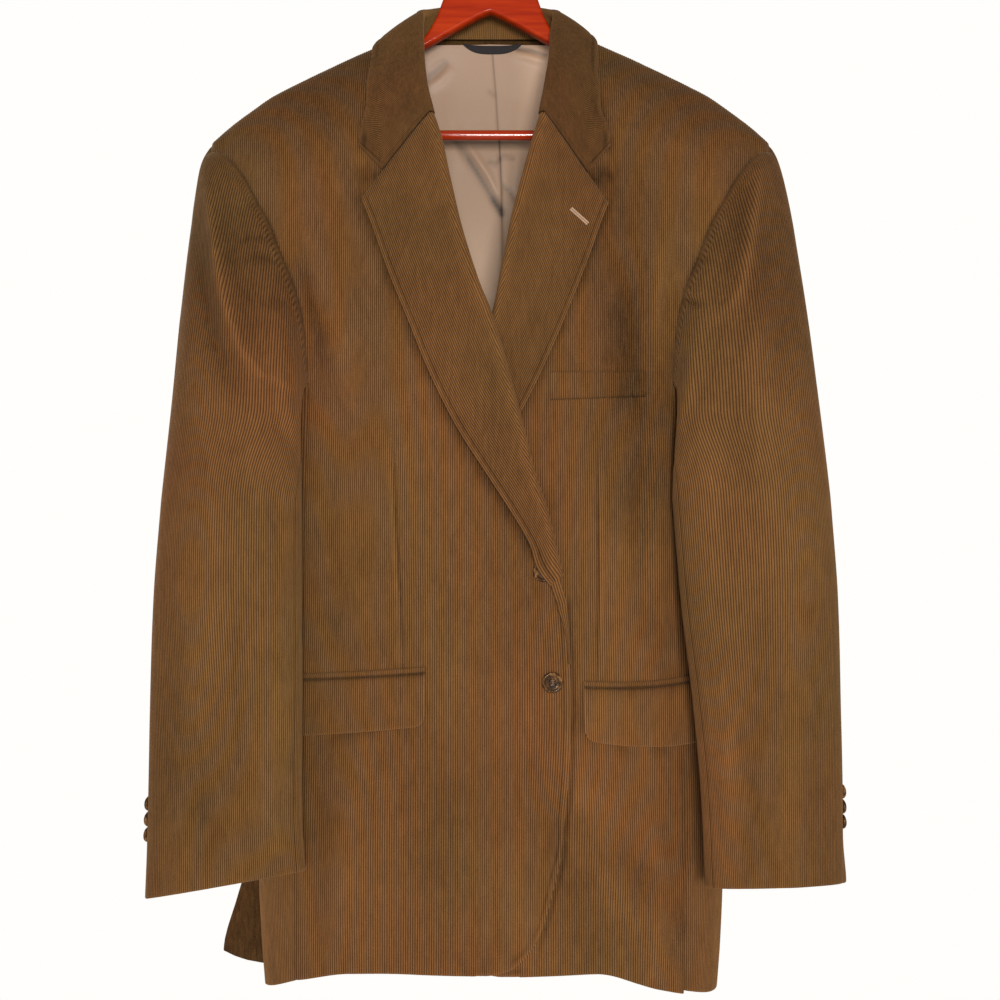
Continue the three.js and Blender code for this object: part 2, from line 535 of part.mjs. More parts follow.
// Lapels: column of the front at the roll line, place of the outer edge, and its height over the front
const LAPELS = {
  '-1': [
    { roll: 51, x: 106.5, z: -162, rise: 3 }, { roll: 43, x: 98.5, z: -181, rise: 3 },
    { roll: 32, x: 83, z: -222, rise: 3 }, { roll: 18, x: 64, z: -268, rise: 3 },
    { roll: 4, x: 50, z: -303, rise: 3 }, { roll: -10, x: 28, z: -349, rise: 3.2 },
    { roll: -24, x: 1, z: -393, rise: 3.6 }, { roll: -36, x: -21, z: -428, rise: 4.8 },
    { roll: -46, x: -38, z: -456, rise: 6 }, { roll: -55, x: -51, z: -482, rise: 6.4 },
  ],
  1: [
    { roll: 46, x: 98, z: -166, rise: 3 }, { roll: 39, x: 91, z: -184, rise: 3 },
    { roll: 32, x: 81, z: -212, rise: 3 }, { roll: 20, x: 61, z: -262, rise: 3 },
    { roll: 8, x: 40, z: -310, rise: 3 }, { roll: -6, x: 17, z: -356, rise: 3 },
    { roll: -20, x: -9, z: -405, rise: 3 }, { roll: -32, x: -28, z: -443, rise: 3 },
    { roll: -42, x: -40, z: -474, rise: 3 },
  ],
};
const CURL = [0, 60, 120, 180];             // steps round the roll, in degrees
const LAPEL_ACROSS = [0.2, 0.42, 0.66, 0.86, 1];

// Beside an edge first, then round a roll: offsets along the two directions, and the outward normal
function curl(centre, across, out, angle) {
  const n = add(across.map((k) => k * Math.sin(deg(angle))), out, -Math.cos(deg(angle)));
  return { p: add(centre, n, ROLL_RADIUS), n };
}

function lapel(side) {
  const rows = LAPELS[side];
  const edgeZ = smooth(FRONTS[side].top, 'x', 'z');
  const onEdge = (x) => frontSkin(side, x, edgeZ(x)).p;
  const place = (i, j) => {
    const row = rows[j];
    const x = row.roll;
    const z = edgeZ(x);
    const { p, n } = frontSkin(side, x, z);
    const along = unit(sub(onEdge(x + 2), onEdge(x - 2)));
    const across = unit(cross(along, n)).map((k) => -k * side);
    const centre = add(add(p, n, ROLL_RADIUS - CLOTH), across, LAY);
    if (i < CURL.length) return curl(centre, across, n, CURL[i]);
    const r = LAPEL_ACROSS[i - CURL.length];
    const rise = lerp(2 * ROLL_RADIUS - CLOTH, row.rise, ease(0, 0.75, r));
    return frontSkin(side, lerp(x, row.x, r), lerp(z, row.z, r), rise);
  };
  const columns = CURL.length + LAPEL_ACROSS.length;
  piece(`lapel_${FRONTS[side].name}`, wall(columns, rows.length, place, CLOTH), CORDUROY);
}
SIDES.forEach(lapel);

// Collar stations from a front end to the middle of the back: place on the neck seam, middle of the fold,
// place of the outer edge, how far the fall's end dips to the notch, and how far it has left the front
const COLLAR = {
  '-1': [
    { turn: 13, z: -89.6, fx: 50.2, fy: -45, fz: -89.4, edgeTurn: 26, edgeZ: -117, dip: 31, wrap: 0 },
    { turn: 19.4, z: -60.5, fx: 57, fy: -37, fz: -60.5, edgeTurn: 27, edgeZ: -92, dip: 8, wrap: 0 },
    { turn: 31.1, z: -33, fx: 60, fy: -24, fz: -34, edgeTurn: 33.3, edgeZ: -60, dip: 0, wrap: 0.4 },
    { turn: 51.9, z: -13, fx: 61.5, fy: -8, fz: -6, edgeTurn: 51.6, edgeZ: -30, dip: 0, wrap: 0.8 },
    { turn: 90, z: -3, fx: 61.5, fy: 3, fz: 11, edgeTurn: 85, edgeZ: -15.5, dip: 0, wrap: 1 },
    { turn: 115.3, z: -1.9, fx: 54.5, fy: 15.5, fz: 18, edgeTurn: 113.6, edgeZ: -15, dip: 0, wrap: 1 },
    { turn: 140, z: -0.9, fx: 38, fy: 26.5, fz: 24.5, edgeTurn: 144, edgeZ: -16, dip: 0, wrap: 1 },
    { turn: 161.8, z: -0.2, fx: 19, fy: 32, fz: 27.5, edgeTurn: 163.5, edgeZ: -16, dip: 0, wrap: 1 },
    { turn: 180, z: 0, fx: 0, fy: 34, fz: 28, edgeTurn: 180, edgeZ: -16, dip: 0, wrap: 1 },
  ],
  1: [
    { turn: 11.4, z: -89.8, fx: 44.6, fy: -45.5, fz: -89.5, edgeTurn: 23.8, edgeZ: -117, dip: 33.5, wrap: 0 },
    { turn: 18.4, z: -60, fx: 50, fy: -37, fz: -60, edgeTurn: 24, edgeZ: -92, dip: 8, wrap: 0 },
    { turn: 30.3, z: -33, fx: 54, fy: -24, fz: -34, edgeTurn: 29, edgeZ: -60, dip: 0, wrap: 0.4 },
    { turn: 51.9, z: -13, fx: 56, fy: -8, fz: -6, edgeTurn: 47, edgeZ: -28, dip: 0, wrap: 0.8 },
    { turn: 90, z: -3, fx: 58.5, fy: 3, fz: 11, edgeTurn: 84, edgeZ: -12, dip: 0, wrap: 1 },
    { turn: 115.3, z: -1.9, fx: 53, fy: 15.5, fz: 18, edgeTurn: 114, edgeZ: -13, dip: 0, wrap: 1 },
    { turn: 140, z: -0.9, fx: 38, fy: 26.5, fz: 24.5, edgeTurn: 144, edgeZ: -15, dip: 0, wrap: 1 },
    { turn: 161.8, z: -0.2, fx: 19, fy: 32, fz: 27.5, edgeTurn: 163.5, edgeZ: -16, dip: 0, wrap: 1 },
  ],
};
const FALL_ACROSS = [0.2, 0.42, 0.66, 0.86, 1];
const NOTCH_SHARE = 0.66;
const FALL_RISE = 3.8;
const STAND_STEPS = 2;

function collarRow(side, row) {
  const seam = skin(side, row.turn, row.z, -CLOTH);
  const fold = [side * row.fx, row.fy, row.fz];
  const level = unit(cross(seam.n, cross([-side, 0, 0], seam.n)));
  const up = unit(mix(level, unit(sub(fold, seam.p)), row.wrap));
  const out = unit(add(seam.n, up, -dot(seam.n, up)));
  const inward = out.map((k) => -k);
  const start = add(seam.p, up, lerp(1.2, 2.1, row.wrap));
  const end = add(fold, out, -ROLL_RADIUS);
  const points = [];
  for (let k = 0; k < STAND_STEPS; k += 1) points.push({ p: mix(start, end, k / STAND_STEPS), n: inward });
  for (const angle of CURL) points.push(curl(fold, up, out, angle));
  const roll = points[points.length - 1].p;
  const edgeX = halfWidth(row.edgeZ) * Math.sin(deg(row.edgeTurn));
  const edge = skin(side, row.edgeTurn, row.edgeZ, FALL_RISE);
  for (const r of FALL_ACROSS) {
    const dip = row.dip * (r < NOTCH_SHARE ? r / NOTCH_SHARE : (1 - r) / (1 - NOTCH_SHARE));
    const rise = lerp(2 * ROLL_RADIUS - CLOTH, FALL_RISE, ease(0, 0.75, r));
    const z = lerp(row.fz, row.edgeZ, r) - dip;
    const flat = row.wrap < 1 ? frontSkin(side, lerp(row.fx, edgeX, r), Math.min(z, 4), rise) : edge;
    const free = { p: add(mix(roll, edge.p, r), out, 6 * r * (1 - r)), n: unit(mix(out, edge.n, r)) };
    points.push({ p: mix(flat.p, free.p, row.wrap), n: unit(mix(flat.n, free.n, row.wrap)) });
  }
  return points;
}

function collar() {
  const rows = [
    ...COLLAR[-1].map((row) => collarRow(-1, row)),
    ...COLLAR[1].map((row) => collarRow(1, row)).reverse(),
  ];
  piece('collar', wall(rows[0].length, rows.length, (i, j) => rows[j][i], CLOTH), CORDUROY);
}
collar();

// Satin lining of the back, from under the neck seam nearly to the hem, and the blank label on it
const LINING_TOP = [
  { x: 0, z: -3 }, { x: 58, z: -5 }, { x: 70, z: -30 }, { x: 90, z: -52 }, { x: 115, z: -66 }, { x: 140, z: -80 },
  { x: 165, z: -98 },
];
const LINING_LOW = -820;
const LINING_COLUMNS = [-165, -138, -108, -82, -62, -42, -21, 0, 21, 42, 62, 82, 108, 138, 165];
const LINING_ROWS = 14;
const LINING_GAP = 0.8;
const liningTop = smooth(LINING_TOP, 'x', 'z');
function lining() {
  const place = (i, j) => {
    const x = LINING_COLUMNS[i];
    const z = lerp(LINING_LOW, liningTop(Math.abs(x)), 1 - (1 - j / (LINING_ROWS - 1)) ** 1.2);
    return backSkin(x < 0 ? -1 : 1, Math.abs(x), z, -CLOTH - LINING_GAP);
  };
  piece('back_lining', wall(LINING_COLUMNS.length, LINING_ROWS, place, LINING), SATIN);
}
lining();

const NECK_LABEL = { x0: -25, x1: 28, low: -12.5, high: -4.2, thick: 0.8, gap: 0.6 };
piece('neck_label', wall(5, 3, (i, j) => {
  const x = lerp(NECK_LABEL.x0, NECK_LABEL.x1, i / 4);
  const z = lerp(NECK_LABEL.low, NECK_LABEL.high, j / 2);
  return backSkin(x < 0 ? -1 : 1, Math.abs(x), z, -CLOTH - LINING_GAP - LINING - NECK_LABEL.gap);
}, NECK_LABEL.thick), LABEL);

// Pockets lie on the fronts: a narrow lip over each flap, and a welt on the wearer's left chest
const POCKETS = {
  '-1': { x0: 53, x1: 178, topIn: -550, topOut: -562, lowIn: -594, lowOut: -611 },
  1: { x0: 78, x1: 180, topIn: -563, topOut: -562, lowIn: -609, lowOut: -616 },
};
const LIP = { high: 5, thick: 1.4 };
const POCKET_RAISE = 0.7;
const FLAP_STEPS = 8;
const FLAP_ROWS = 3;
const FLAP_CORNER = 9;          // radius of the flap's inner corner
const FLAP_CORNER_SHARE = 1 / 12;
function pocket(side) {
  const spot = POCKETS[side];
  const across = (u) => lerp(spot.x0, spot.x1, u);
  const lipPlace = (i, j) => {
    const u = i / FLAP_STEPS;
    const z = lerp(spot.topIn, spot.topOut, u) - LIP.high * (1 - j);
    return frontSkin(side, across(u), z, LIP.thick + POCKET_RAISE);
  };
  const flapPlace = (i, j) => {
    const u = i / FLAP_STEPS;
    const top = lerp(spot.topIn, spot.topOut, u) - LIP.high - 2 * SEAM;
    const corner = FLAP_CORNER * (1 - Math.sqrt(1 - (1 - clamp(u / FLAP_CORNER_SHARE)) ** 2));
    const low = lerp(spot.lowIn, spot.lowOut, u) + corner;
    return frontSkin(side, across(u), lerp(low, top, j / FLAP_ROWS), CLOTH + POCKET_RAISE);
  };
  const { name } = FRONTS[side];
  piece(`pocket_lip_${name}`, wall(FLAP_STEPS + 1, 2, lipPlace, LIP.thick), CORDUROY);
  piece(`pocket_flap_${name}`, wall(FLAP_STEPS + 1, FLAP_ROWS + 1, flapPlace, CLOTH), CORDUROY);
}
SIDES.forEach(pocket);

const WELT = { x0: 49.5, x1: 129.5, topIn: -306.5, topOut: -304.5, lowIn: -329.5, lowOut: -325.5, thick: 1.8 };
piece('breast_welt', wall(7, 3, (i, j) => {
  const u = i / 6;
  const z = lerp(lerp(WELT.lowIn, WELT.lowOut, u), lerp(WELT.topIn, WELT.topOut, u), j / 2);
  return frontSkin(1, lerp(WELT.x0, WELT.x1, u), z, WELT.thick + POCKET_RAISE);
}, WELT.thick), CORDUROY);

// Buttons: a turned disc with a raised rim, its back flat on the cloth
const FRONT_BUTTON = { radius: 8.75, high: 3.2, steps: 20 };
const CUFF_BUTTON = { radius: 6.25, high: 2.6, steps: 12 };
const FRONT_BUTTONS = [{ name: 'upper', x: -43, z: -470 }, { name: 'lower', x: -51, z: -563 }];
const CUFF_BUTTON_PLACES = [{ v: 0.872 }, { v: 0.893 }, { v: 0.914 }];
const CUFF_BUTTON_SHARE = -0.176;

function button(name, size, { p, n }) {
  const profile = [
    [0, 0], [0.87, 0], [1, 0.4], [0.97, 0.85], [0.88, 1], [0.76, 1], [0.66, 0.7], [0, 0.62],
  ].map(([r, z]) => new THREE.Vector2(r * size.radius, z * size.high));
  const geometry = new THREE.LatheGeometry(profile, size.steps).rotateX(Math.PI / 2);
  const mesh = piece(name, geometry, BUTTON);
  mesh.position.set(...add(p, n, LAY));
  mesh.quaternion.setFromUnitVectors(new THREE.Vector3(0, 0, 1), new THREE.Vector3(...n));
}
for (const spot of FRONT_BUTTONS) button(`front_button_${spot.name}`, FRONT_BUTTON, frontSkin(-1, spot.x, spot.z));
for (const side of SIDES) {
  CUFF_BUTTON_PLACES.forEach(({ v }, k) => {
    const spot = sleevePoint(side, CUFF_BUTTON_SHARE, v);
    button(`cuff_button_${FRONTS[side].name}_${k + 1}`, CUFF_BUTTON, spot);
  });
}

// Hanger: a flat board cut to the shoulders, a round bar between its arms, and a wire hook
const BOARD = { thick: 12, bevel: 1.2, clearance: 6.9, notchZ: 15.7 };
const BOARD_UNDER = [{ x: 212, z: -103 }, { x: 204, z: -102 }];
const BOARD_TOP = [
  { x: 0, z: 58 }, { x: 12, z: 57 }, { x: 28, z: 46 }, { x: 40, z: 27 }, { x: 47, z: 9 }, { x: 56, z: -6 },
  { x: 66, z: -15 }, { x: 78, z: -21 },
];
const ARM_COLUMNS = [90, 105, 122, 139, 157, 174, 192, 204, 212];
const BAR = { radius: 4.35, z: -93, half: 204 };
const HOOK = { wire: 1.8, radius: 22, stem: 20, proud: 5 };
const HOLE_GAP = 0.3;
const BAR_HOLE = 40;           // depth of the bar's hole in each arm

const wasm = await Module();
wasm.setup();
function solid(geometry) {
  const bare = geometry.clone();
  bare.deleteAttribute('normal');
  bare.deleteAttribute('uv');
  const merged = mergeVertices(bare, 1e-4);
  return new wasm.Manifold(new wasm.Mesh({
    numProp: 3, vertProperties: merged.attributes.position.array, triVerts: new Uint32Array(merged.index.array),
  }));
}
function geometryOf(shape) {
  const mesh = shape.getMesh();
  const geometry = new THREE.BufferGeometry();
  geometry.setAttribute('position', new THREE.BufferAttribute(mesh.vertProperties, 3));
  geometry.setIndex(new THREE.BufferAttribute(mesh.triVerts, 1));
  return geometry;
}

function board() {
  const upper = [...BOARD_TOP, ...ARM_COLUMNS.map((x) => ({ x, z: ridgeZ(x) - BOARD.clearance }))];
  const half = [...upper, ...BOARD_UNDER];
  const outline = [
    ...half.map(({ x, z }) => new THREE.Vector2(x, z)),
    new THREE.Vector2(0, BOARD.notchZ),
    ...half.slice(1).reverse().map(({ x, z }) => new THREE.Vector2(-x, z)),
  ];
  const depth = BOARD.thick - 2 * BOARD.bevel;
  const options = {
    depth, bevelEnabled: true, bevelThickness: BOARD.bevel, bevelSize: BOARD.bevel, bevelOffset: -BOARD.bevel,
    bevelSegments: 1,
  };
  const plate = new THREE.ExtrudeGeometry(new THREE.Shape(outline), options);
  plate.translate(0, 0, -depth / 2).rotateX(Math.PI / 2);
  const drill = (radius, length, x, z, turned) => {
    const tool = new THREE.CylinderGeometry(radius, radius, length, 16);
    if (turned) tool.rotateZ(Math.PI / 2);
    else tool.rotateX(Math.PI / 2);
    tool.translate(x, 0, z);
    return solid(tool);
  };
  let body = solid(plate);
  for (const side of SIDES) {
    const x = side * (BAR.half + HOLE_GAP - BAR_HOLE / 2);
    body = body.subtract(drill(BAR.radius + HOLE_GAP, BAR_HOLE, x, BAR.z, true));
  }
  body = body.subtract(drill(HOOK.wire + HOLE_GAP, HOOK.stem, 0, BOARD_TOP[0].z - HOOK.stem / 2 + HOOK.proud, false));
  piece('hanger_board', geometryOf(body), LACQUER, hanger);
}
board();

const bar = piece('trouser_bar', new THREE.CylinderGeometry(BAR.radius, BAR.radius, 2 * BAR.half, 16), LACQUER, hanger);
bar.rotation.z = Math.PI / 2;
bar.position.z = BAR.z;

function hook() {
  const centreZ = NECK_DROP - HOOK.radius;
  const bend = HOOK.radius + HOOK.wire;
  const low = BOARD_TOP[0].z + HOOK.proud - HOOK.stem + HOLE_GAP;
  const points = [[0, low], [0, low + 12], [0, 66], [0.8, 77], [4.5, 85.5]];
  for (let a = -62; a <= 190; a += 28) points.push([bend * Math.cos(deg(a)), centreZ + bend * Math.sin(deg(a))]);
  const path = new THREE.CatmullRomCurve3(points.map(([x, z]) => new THREE.Vector3(x, 0, z)));
  const section = new THREE.Shape();
  section.absarc(0, 0, HOOK.wire, 0, 2 * Math.PI, false);
  const options = { steps: 40, curveSegments: 4, bevelEnabled: false, extrudePath: path };
  piece('hanger_hook', new THREE.ExtrudeGeometry(section, options), STEEL, hanger);
}
hook();

export default jacket;
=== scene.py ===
import math

import bmesh
import bpy
import numpy as np
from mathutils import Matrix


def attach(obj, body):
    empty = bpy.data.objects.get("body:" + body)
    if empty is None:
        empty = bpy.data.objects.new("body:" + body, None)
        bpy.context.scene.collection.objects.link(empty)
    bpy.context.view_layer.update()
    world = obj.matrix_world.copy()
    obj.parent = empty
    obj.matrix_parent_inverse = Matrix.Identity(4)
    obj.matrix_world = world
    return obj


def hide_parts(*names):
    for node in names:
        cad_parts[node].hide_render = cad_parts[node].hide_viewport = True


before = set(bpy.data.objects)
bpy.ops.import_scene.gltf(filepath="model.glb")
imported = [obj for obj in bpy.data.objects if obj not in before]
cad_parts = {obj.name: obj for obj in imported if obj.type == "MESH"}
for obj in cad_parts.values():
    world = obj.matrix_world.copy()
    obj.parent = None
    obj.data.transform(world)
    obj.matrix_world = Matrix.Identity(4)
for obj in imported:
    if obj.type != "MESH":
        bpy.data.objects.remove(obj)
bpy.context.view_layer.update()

# The form of the hanging body
# The body's cloth lies on one hollow form, wide and shallow, from the hips to the neck. Its sizes are
# in millimetres from the seam at the back of the neck, with the front at -Y and the wearer's left at +X.
MM = 0.001
NECK_DROP = 135               # from the inside top of the hook down to the back neck seam
CLOTH_FORWARD = 4             # the cloth hangs a little forward of the hanger's middle
CLOTH = 2                     # thickness of the corduroy with its interfacing
SEAM = 0.2                    # each piece stops this far short of its seam
SEAM_TURN = 0.5               # the same at the back side seam, in degrees round the body
FRONT_POWER = 2
BACK_POWER = 2.4
NECK_X = 74
NECK_Z = -2.4
FRONT_SEAM_X = 154
BACK_SEAM_X = 179
CAP_X = 243
CAP_Z = -101


def rows(names, *values):
    """A short table: one dict for each row, with its named columns."""
    return [dict(zip(names.split(), row)) for row in values]


RIDGE = rows("x z", (60, 5), (70, 0), (NECK_X, NECK_Z), (87, -10.5), (105, -19), (122, -26.5), (139, -34.6),
             (157, -43.4), (174, -52), (192, -61.6), (209, -73.5), (227, -87), (CAP_X, CAP_Z))
GIRTH = rows("z half", (CAP_Z, CAP_X), (-125, 249), (-160, 245), (-200, 237), (-250, 224), (-300, 208),
             (-335, 199), (-412, 197), (-500, 196), (-600, 200), (-740, 206), (-800, 204), (-845, 201))
DEPTH = rows("z side front back", (6, 6, 16, 28), (-6, 5, 19, 30), (-30, 5, 26, 33), (-62, 5, 41, 36),
             (-92, 5, 49, 38), (-114, 6, 55, 38), (-147, 9, 62, 37), (-190, 13, 70, 35), (-250, 18, 77, 31),
             (-335, 23, 81, 26), (-412, 24, 80, 23), (-500, 24, 75, 21),
              (-650, 24, 74, 22), (-845, 24, 76, 24))
LIFT = rows("z out", (-90, 0), (-170, 2.6), (-232, 9), (-440, 9), (-520, 5), (-620, 3.2))
LIFT_FULL_X = 58
LIFT_END_X = 140
FRONT_FOLDS = rows("x0 z0 x1 z1 width height", (108, -205, 112, -300, 17, -4), (140, -240, 143, -560, 12, 3),
                   (70, -640, 150, -800, 20, 4), (120, -610, 160, -720, 16, -4),
                   (-110, -230, -122, -420, 20, -3), (-90, -640, -130, -810, 26, 3))


def table(values, key, value):
    """Monotone cubic through two columns of a table, with harmonic means of the rises as its slopes."""
    x, y = np.array(sorted((row[key], row[value]) for row in values), float).T
    rise = np.diff(y) / np.diff(x)
    product = rise[:-1] * rise[1:]
    total = np.where(product > 0, rise[:-1] + rise[1:], 1)
    slope = np.concatenate([rise[:1], np.where(product > 0, 2 * product / total, 0), rise[-1:]])

    def at(q):
        q = np.clip(q, x[0], x[-1])
        i = np.clip(np.searchsorted(x, q, side="right") - 1, 0, len(x) - 2)
        h = x[i + 1] - x[i]
        t = (q - x[i]) / h
        start = (1 + 2 * t) * (1 - t) ** 2 * y[i] + t * (1 - t) ** 2 * h * slope[i]
        return start + t * t * (3 - 2 * t) * y[i + 1] + t * t * (t - 1) * h * slope[i + 1]
    return at


ridge_z = table(RIDGE, "x", "z")
ridge_x = table(RIDGE, "z", "x")
low_half = table(GIRTH, "z", "half")
side_y = table(DEPTH, "z", "side")
reach_front = table(DEPTH, "z", "front")
reach_back = table(DEPTH, "z", "back")
lift_out = table(LIFT, "z", "out")


def lerp(a, b, t):
    """a + (b - a) t."""
    return a + (b - a) * t


def ease(a, b, q):
    """Smooth step from 0 at a to 1 at b."""
    t = np.clip((q - a) / (b - a), 0, 1)
    return t * t * (3 - 2 * t)


def unit(v):
    """Vectors divided by their length."""
    return v / np.maximum(np.linalg.norm(v, axis=-1, keepdims=True), 1e-12)


def half_width(z):
    """Half the body's width: the shoulder's ridge above the cap, the girth below it."""
    return np.where(z > CAP_Z, ridge_x(z), low_half(z))


def body_point(side, turn, z):
    """x = half width x sin(turn), and y leaves the side line by reach x (1 - |sin|^power)^(1 / power)."""
    turn, z = np.broadcast_arrays(np.asarray(turn, float), np.asarray(z, float))
    across = np.sin(np.radians(turn))
    power = np.where(turn < 90, FRONT_POWER, BACK_POWER)
    reach = np.where(turn < 90, -reach_front(z), reach_back(z))
    round_off = np.maximum(0, 1 - np.abs(across) ** power) ** (1 / power)
    return np.stack([side * half_width(z) * across, side_y(z) + reach * round_off, z], -1)


def body_normal(side, turn, z):
    """Cross product of the surface's two differences, over one degree and one millimetre each way."""
    round_body = body_point(side, turn + 1, z) - body_point(side, turn - 1, z)
    up = body_point(side, turn, z + 1) - body_point(side, turn, z - 1)
    return unit(np.cross(round_body, up)) * side


def line_distance(x, z, places):
    """How far each place is from a line of straight legs, and how far along the line, as a share."""
    places = np.array(places, float)
    legs = np.diff(places, axis=0)
    lengths = np.hypot(legs[:, 0], legs[:, 1])
    nearest = np.full(np.shape(x), np.inf)
    gone = np.zeros(np.shape(x))
    for start, leg, length, before in zip(places, legs, lengths, np.cumsum(lengths) - lengths):
        t = ((x - start[0]) * leg[0] + (z - start[1]) * leg[1]) / length ** 2
        held = np.clip(t, 0, 1)
        away = np.hypot(x - start[0] - held * leg[0], z - start[1] - held * leg[1])
        gone = np.where(away < nearest, before + t * length, gone)
        nearest = np.minimum(nearest, away)
    return nearest, gone / lengths.sum()


def line_height(x, z, places, width, height, fade):
    """A soft fold: height x exp(-(distance from the line / width)^2), fading towards the line's ends."""
    nearest, share = line_distance(x, z, places)
    share = np.clip((share + fade) / (1 + 2 * fade), 0, 1)
    return height * np.exp(-(nearest / width) ** 2) * np.sin(np.pi * share)


def skin(side, turn, z, out=0.0):
    """A place on the worn surface, moved out along its normal, and that normal."""
    turn, z = np.broadcast_arrays(np.asarray(turn, float), np.asarray(z, float))
    base = body_point(side, turn, z)
    normal = body_normal(side, turn, z)
    lift = 0
    for f in FRONT_FOLDS:
        lift = lift + line_height(base[..., 0], z, [(f["x0"], f["z0"]), (f["x1"], f["z1"])],
                                  f["width"], f["height"], 0.15)
    if side < 0:
        lift = lift + lift_out(z) * (1 - ease(LIFT_FULL_X, LIFT_END_X, side * base[..., 0]))
    lift = np.where(turn < 90, lift, 0)
    return base + normal * (lift + out)[..., None], normal


def turn_at(x, z):
    """Degrees round the body: the arcsine of x / half width."""
    return np.degrees(np.arcsin(np.clip(x / half_width(z), -1, 1)))


def front_skin(side, x, z, out=0.0):
    """Point and normal of the front over x and z."""
    return skin(side, turn_at(x, z), z, out)


def back_skin(side, x, z, out=0.0):
    """The same for the back, at 180 degrees less the turn."""
    return skin(side, 180 - turn_at(x, z), z, out)


# The corduroy
# Brown cotton with raised cords, called wales, and a short brushed nap. The crowns are lighter and the
# grooves are painted dark, as shade between the cords. Each piece's grid has three columns for a wale, so its
# cords are real relief.
WALE = 1.8                    # from one groove to the next
WALE_STEPS = 3
WALE_HIGH = 0.42
WALE_SHADE = (1, 0, 0.35)     # share of painted groove shade on a wale's three columns, a little of it on one flank
CROWN_RED = (0.153, 0.062, 0.020)
CROWN_OLIVE = (0.132, 0.068, 0.021)
# The groove colour is painted shade between the cords
GROOVE_SHADE = (0.026, 0.011, 0.0045)
INSIDE_SHADE = -0.66           # painted shade on the cloth's inner side
LINING_COLOUR = (0.246, 0.159, 0.098)
LINING_ROSE = (0.243, 0.153, 0.100)


class Value:
    """A shader socket: used in an expression, it adds the Math nodes that the expression needs."""

    def __init__(self, finish, socket):
        self.finish = finish
        self.socket = socket

    def math(self, operation, *others):
        return self.finish.node("ShaderNodeMath", {"operation": operation}, dict(enumerate((self, *others))))

    def __add__(self, other):
        return self.math("ADD", other)

    def __sub__(self, other):
        return self.math("SUBTRACT", other)

    def __mul__(self, other):
        return self.math("MULTIPLY", other)

    def __rsub__(self, other):
        return self.finish.node("ShaderNodeMath", {"operation": "SUBTRACT"}, {0: other, 1: self})

    def __pow__(self, other):
        return self.math("POWER", other)

    __radd__ = __add__
    __rmul__ = __mul__


class Finish:
    """A material with one principled shader, whose sockets take numbers, colours or Values."""

    def __init__(self, name, **fixed):
        self.material = bpy.data.materials.new(name)
        self.material.use_nodes = True
        self.tree = self.material.node_tree
        self.shader = self.tree.nodes["Principled BSDF"]
        self.set(self.shader, {key.replace("_", " "): value for key, value in fixed.items()})

    def set(self, node, sockets):
        for key, value in sockets.items():
            socket = node.inputs[key]
            if isinstance(value, Value):
                self.tree.links.new(value.socket, socket)
            elif isinstance(value, tuple) and socket.type == "RGBA":
                socket.default_value = (*value, 1)
            else:
                socket.default_value = value

    def node(self, kind, settings, sockets, output=0):
        node = self.tree.nodes.new(kind)
        for key, value in settings.items():
            if key == "stops":
                ramp = node.color_ramp.elements
                while len(ramp) < len(value):
                    ramp.new(1)
                for element, (position, colour) in zip(ramp, value):
                    element.position = position
                    element.color = (*colour, 1)
            else:
                setattr(node, key, value)
        self.set(node, sockets)
        return Value(self, node.outputs[output])

    def place(self, *scale):
        """The surface's place in metres, multiplied along X, Y and Z."""
        where = self.node("ShaderNodeTexCoord", {}, {}, output=3)
        return self.node("ShaderNodeVectorMath", {"operation": "MULTIPLY"}, {0: where, 1: scale})

    def noise(self, scale, detail=3, rough=0.5, spread=1.0):
        """Soft noise between about -spread and spread, with its own scale on each axis."""
        sockets = {"Vector": self.place(*scale), "Scale": 1, "Detail": detail, "Roughness": rough}
        return (self.node("ShaderNodeTexNoise", {}, sockets) - 0.5) * (2 * spread)

    def attribute(self, name):
        return self.node("ShaderNodeAttribute", {"attribute_name": name}, {}, output=2)

    def mix(self, share, first, second, blend="MIX"):
        settings = {"data_type": "RGBA", "blend_type": blend}
        return self.node("ShaderNodeMix", settings, {0: share, 6: first, 7: second}, output=2)

    def grade(self, colour, value):
        """A colour made lighter or darker, with its value multiplied."""
        return self.node("ShaderNodeHueSaturation", {}, {"Color": colour, "Value": value})

    def bump(self, height, distance, strength=1.0):
        return self.node("ShaderNodeBump", {}, {"Height": height, "Distance": distance, "Strength": strength})


def corduroy_finish():
    """Crown colour, painted groove shade, painted light and shade from two attributes, and fine pile."""
    cloth = Finish("corduroy", Roughness=0.92, Sheen_Weight=0.12, Sheen_Roughness=0.45,
                   Specular_IOR_Level=0.05,
                   Sheen_Tint=(0.9, 0.6, 0.36))
    pile = cloth.noise((2600, 2600, 700), detail=2)
    streak = cloth.noise((520, 520, 62), detail=2, rough=0.6)
    patch = cloth.noise((9, 9, 6), detail=3)
    mottle = cloth.noise((70, 70, 45), detail=3, rough=0.6)
    hue = cloth.noise((8, 8, 5), detail=2)
    crown = cloth.mix(0.5 + hue * 1.2, CROWN_RED, CROWN_OLIVE)
    colour = cloth.mix(cloth.attribute("groove"), crown, GROOVE_SHADE)
    # The value takes painted light and shade from the second attribute, with random patches, mottle, streaks
    # and pile
    value = 1 + patch * 0.22 + mottle * 0.2 + streak * 0.3 + pile * 0.34 + cloth.attribute("tone")
    cloth.set(cloth.shader, {"Base Color": cloth.grade(colour, value)})
    cloth.set(cloth.shader, {"Normal": cloth.bump(pile, 0.00012)})
    return cloth.material


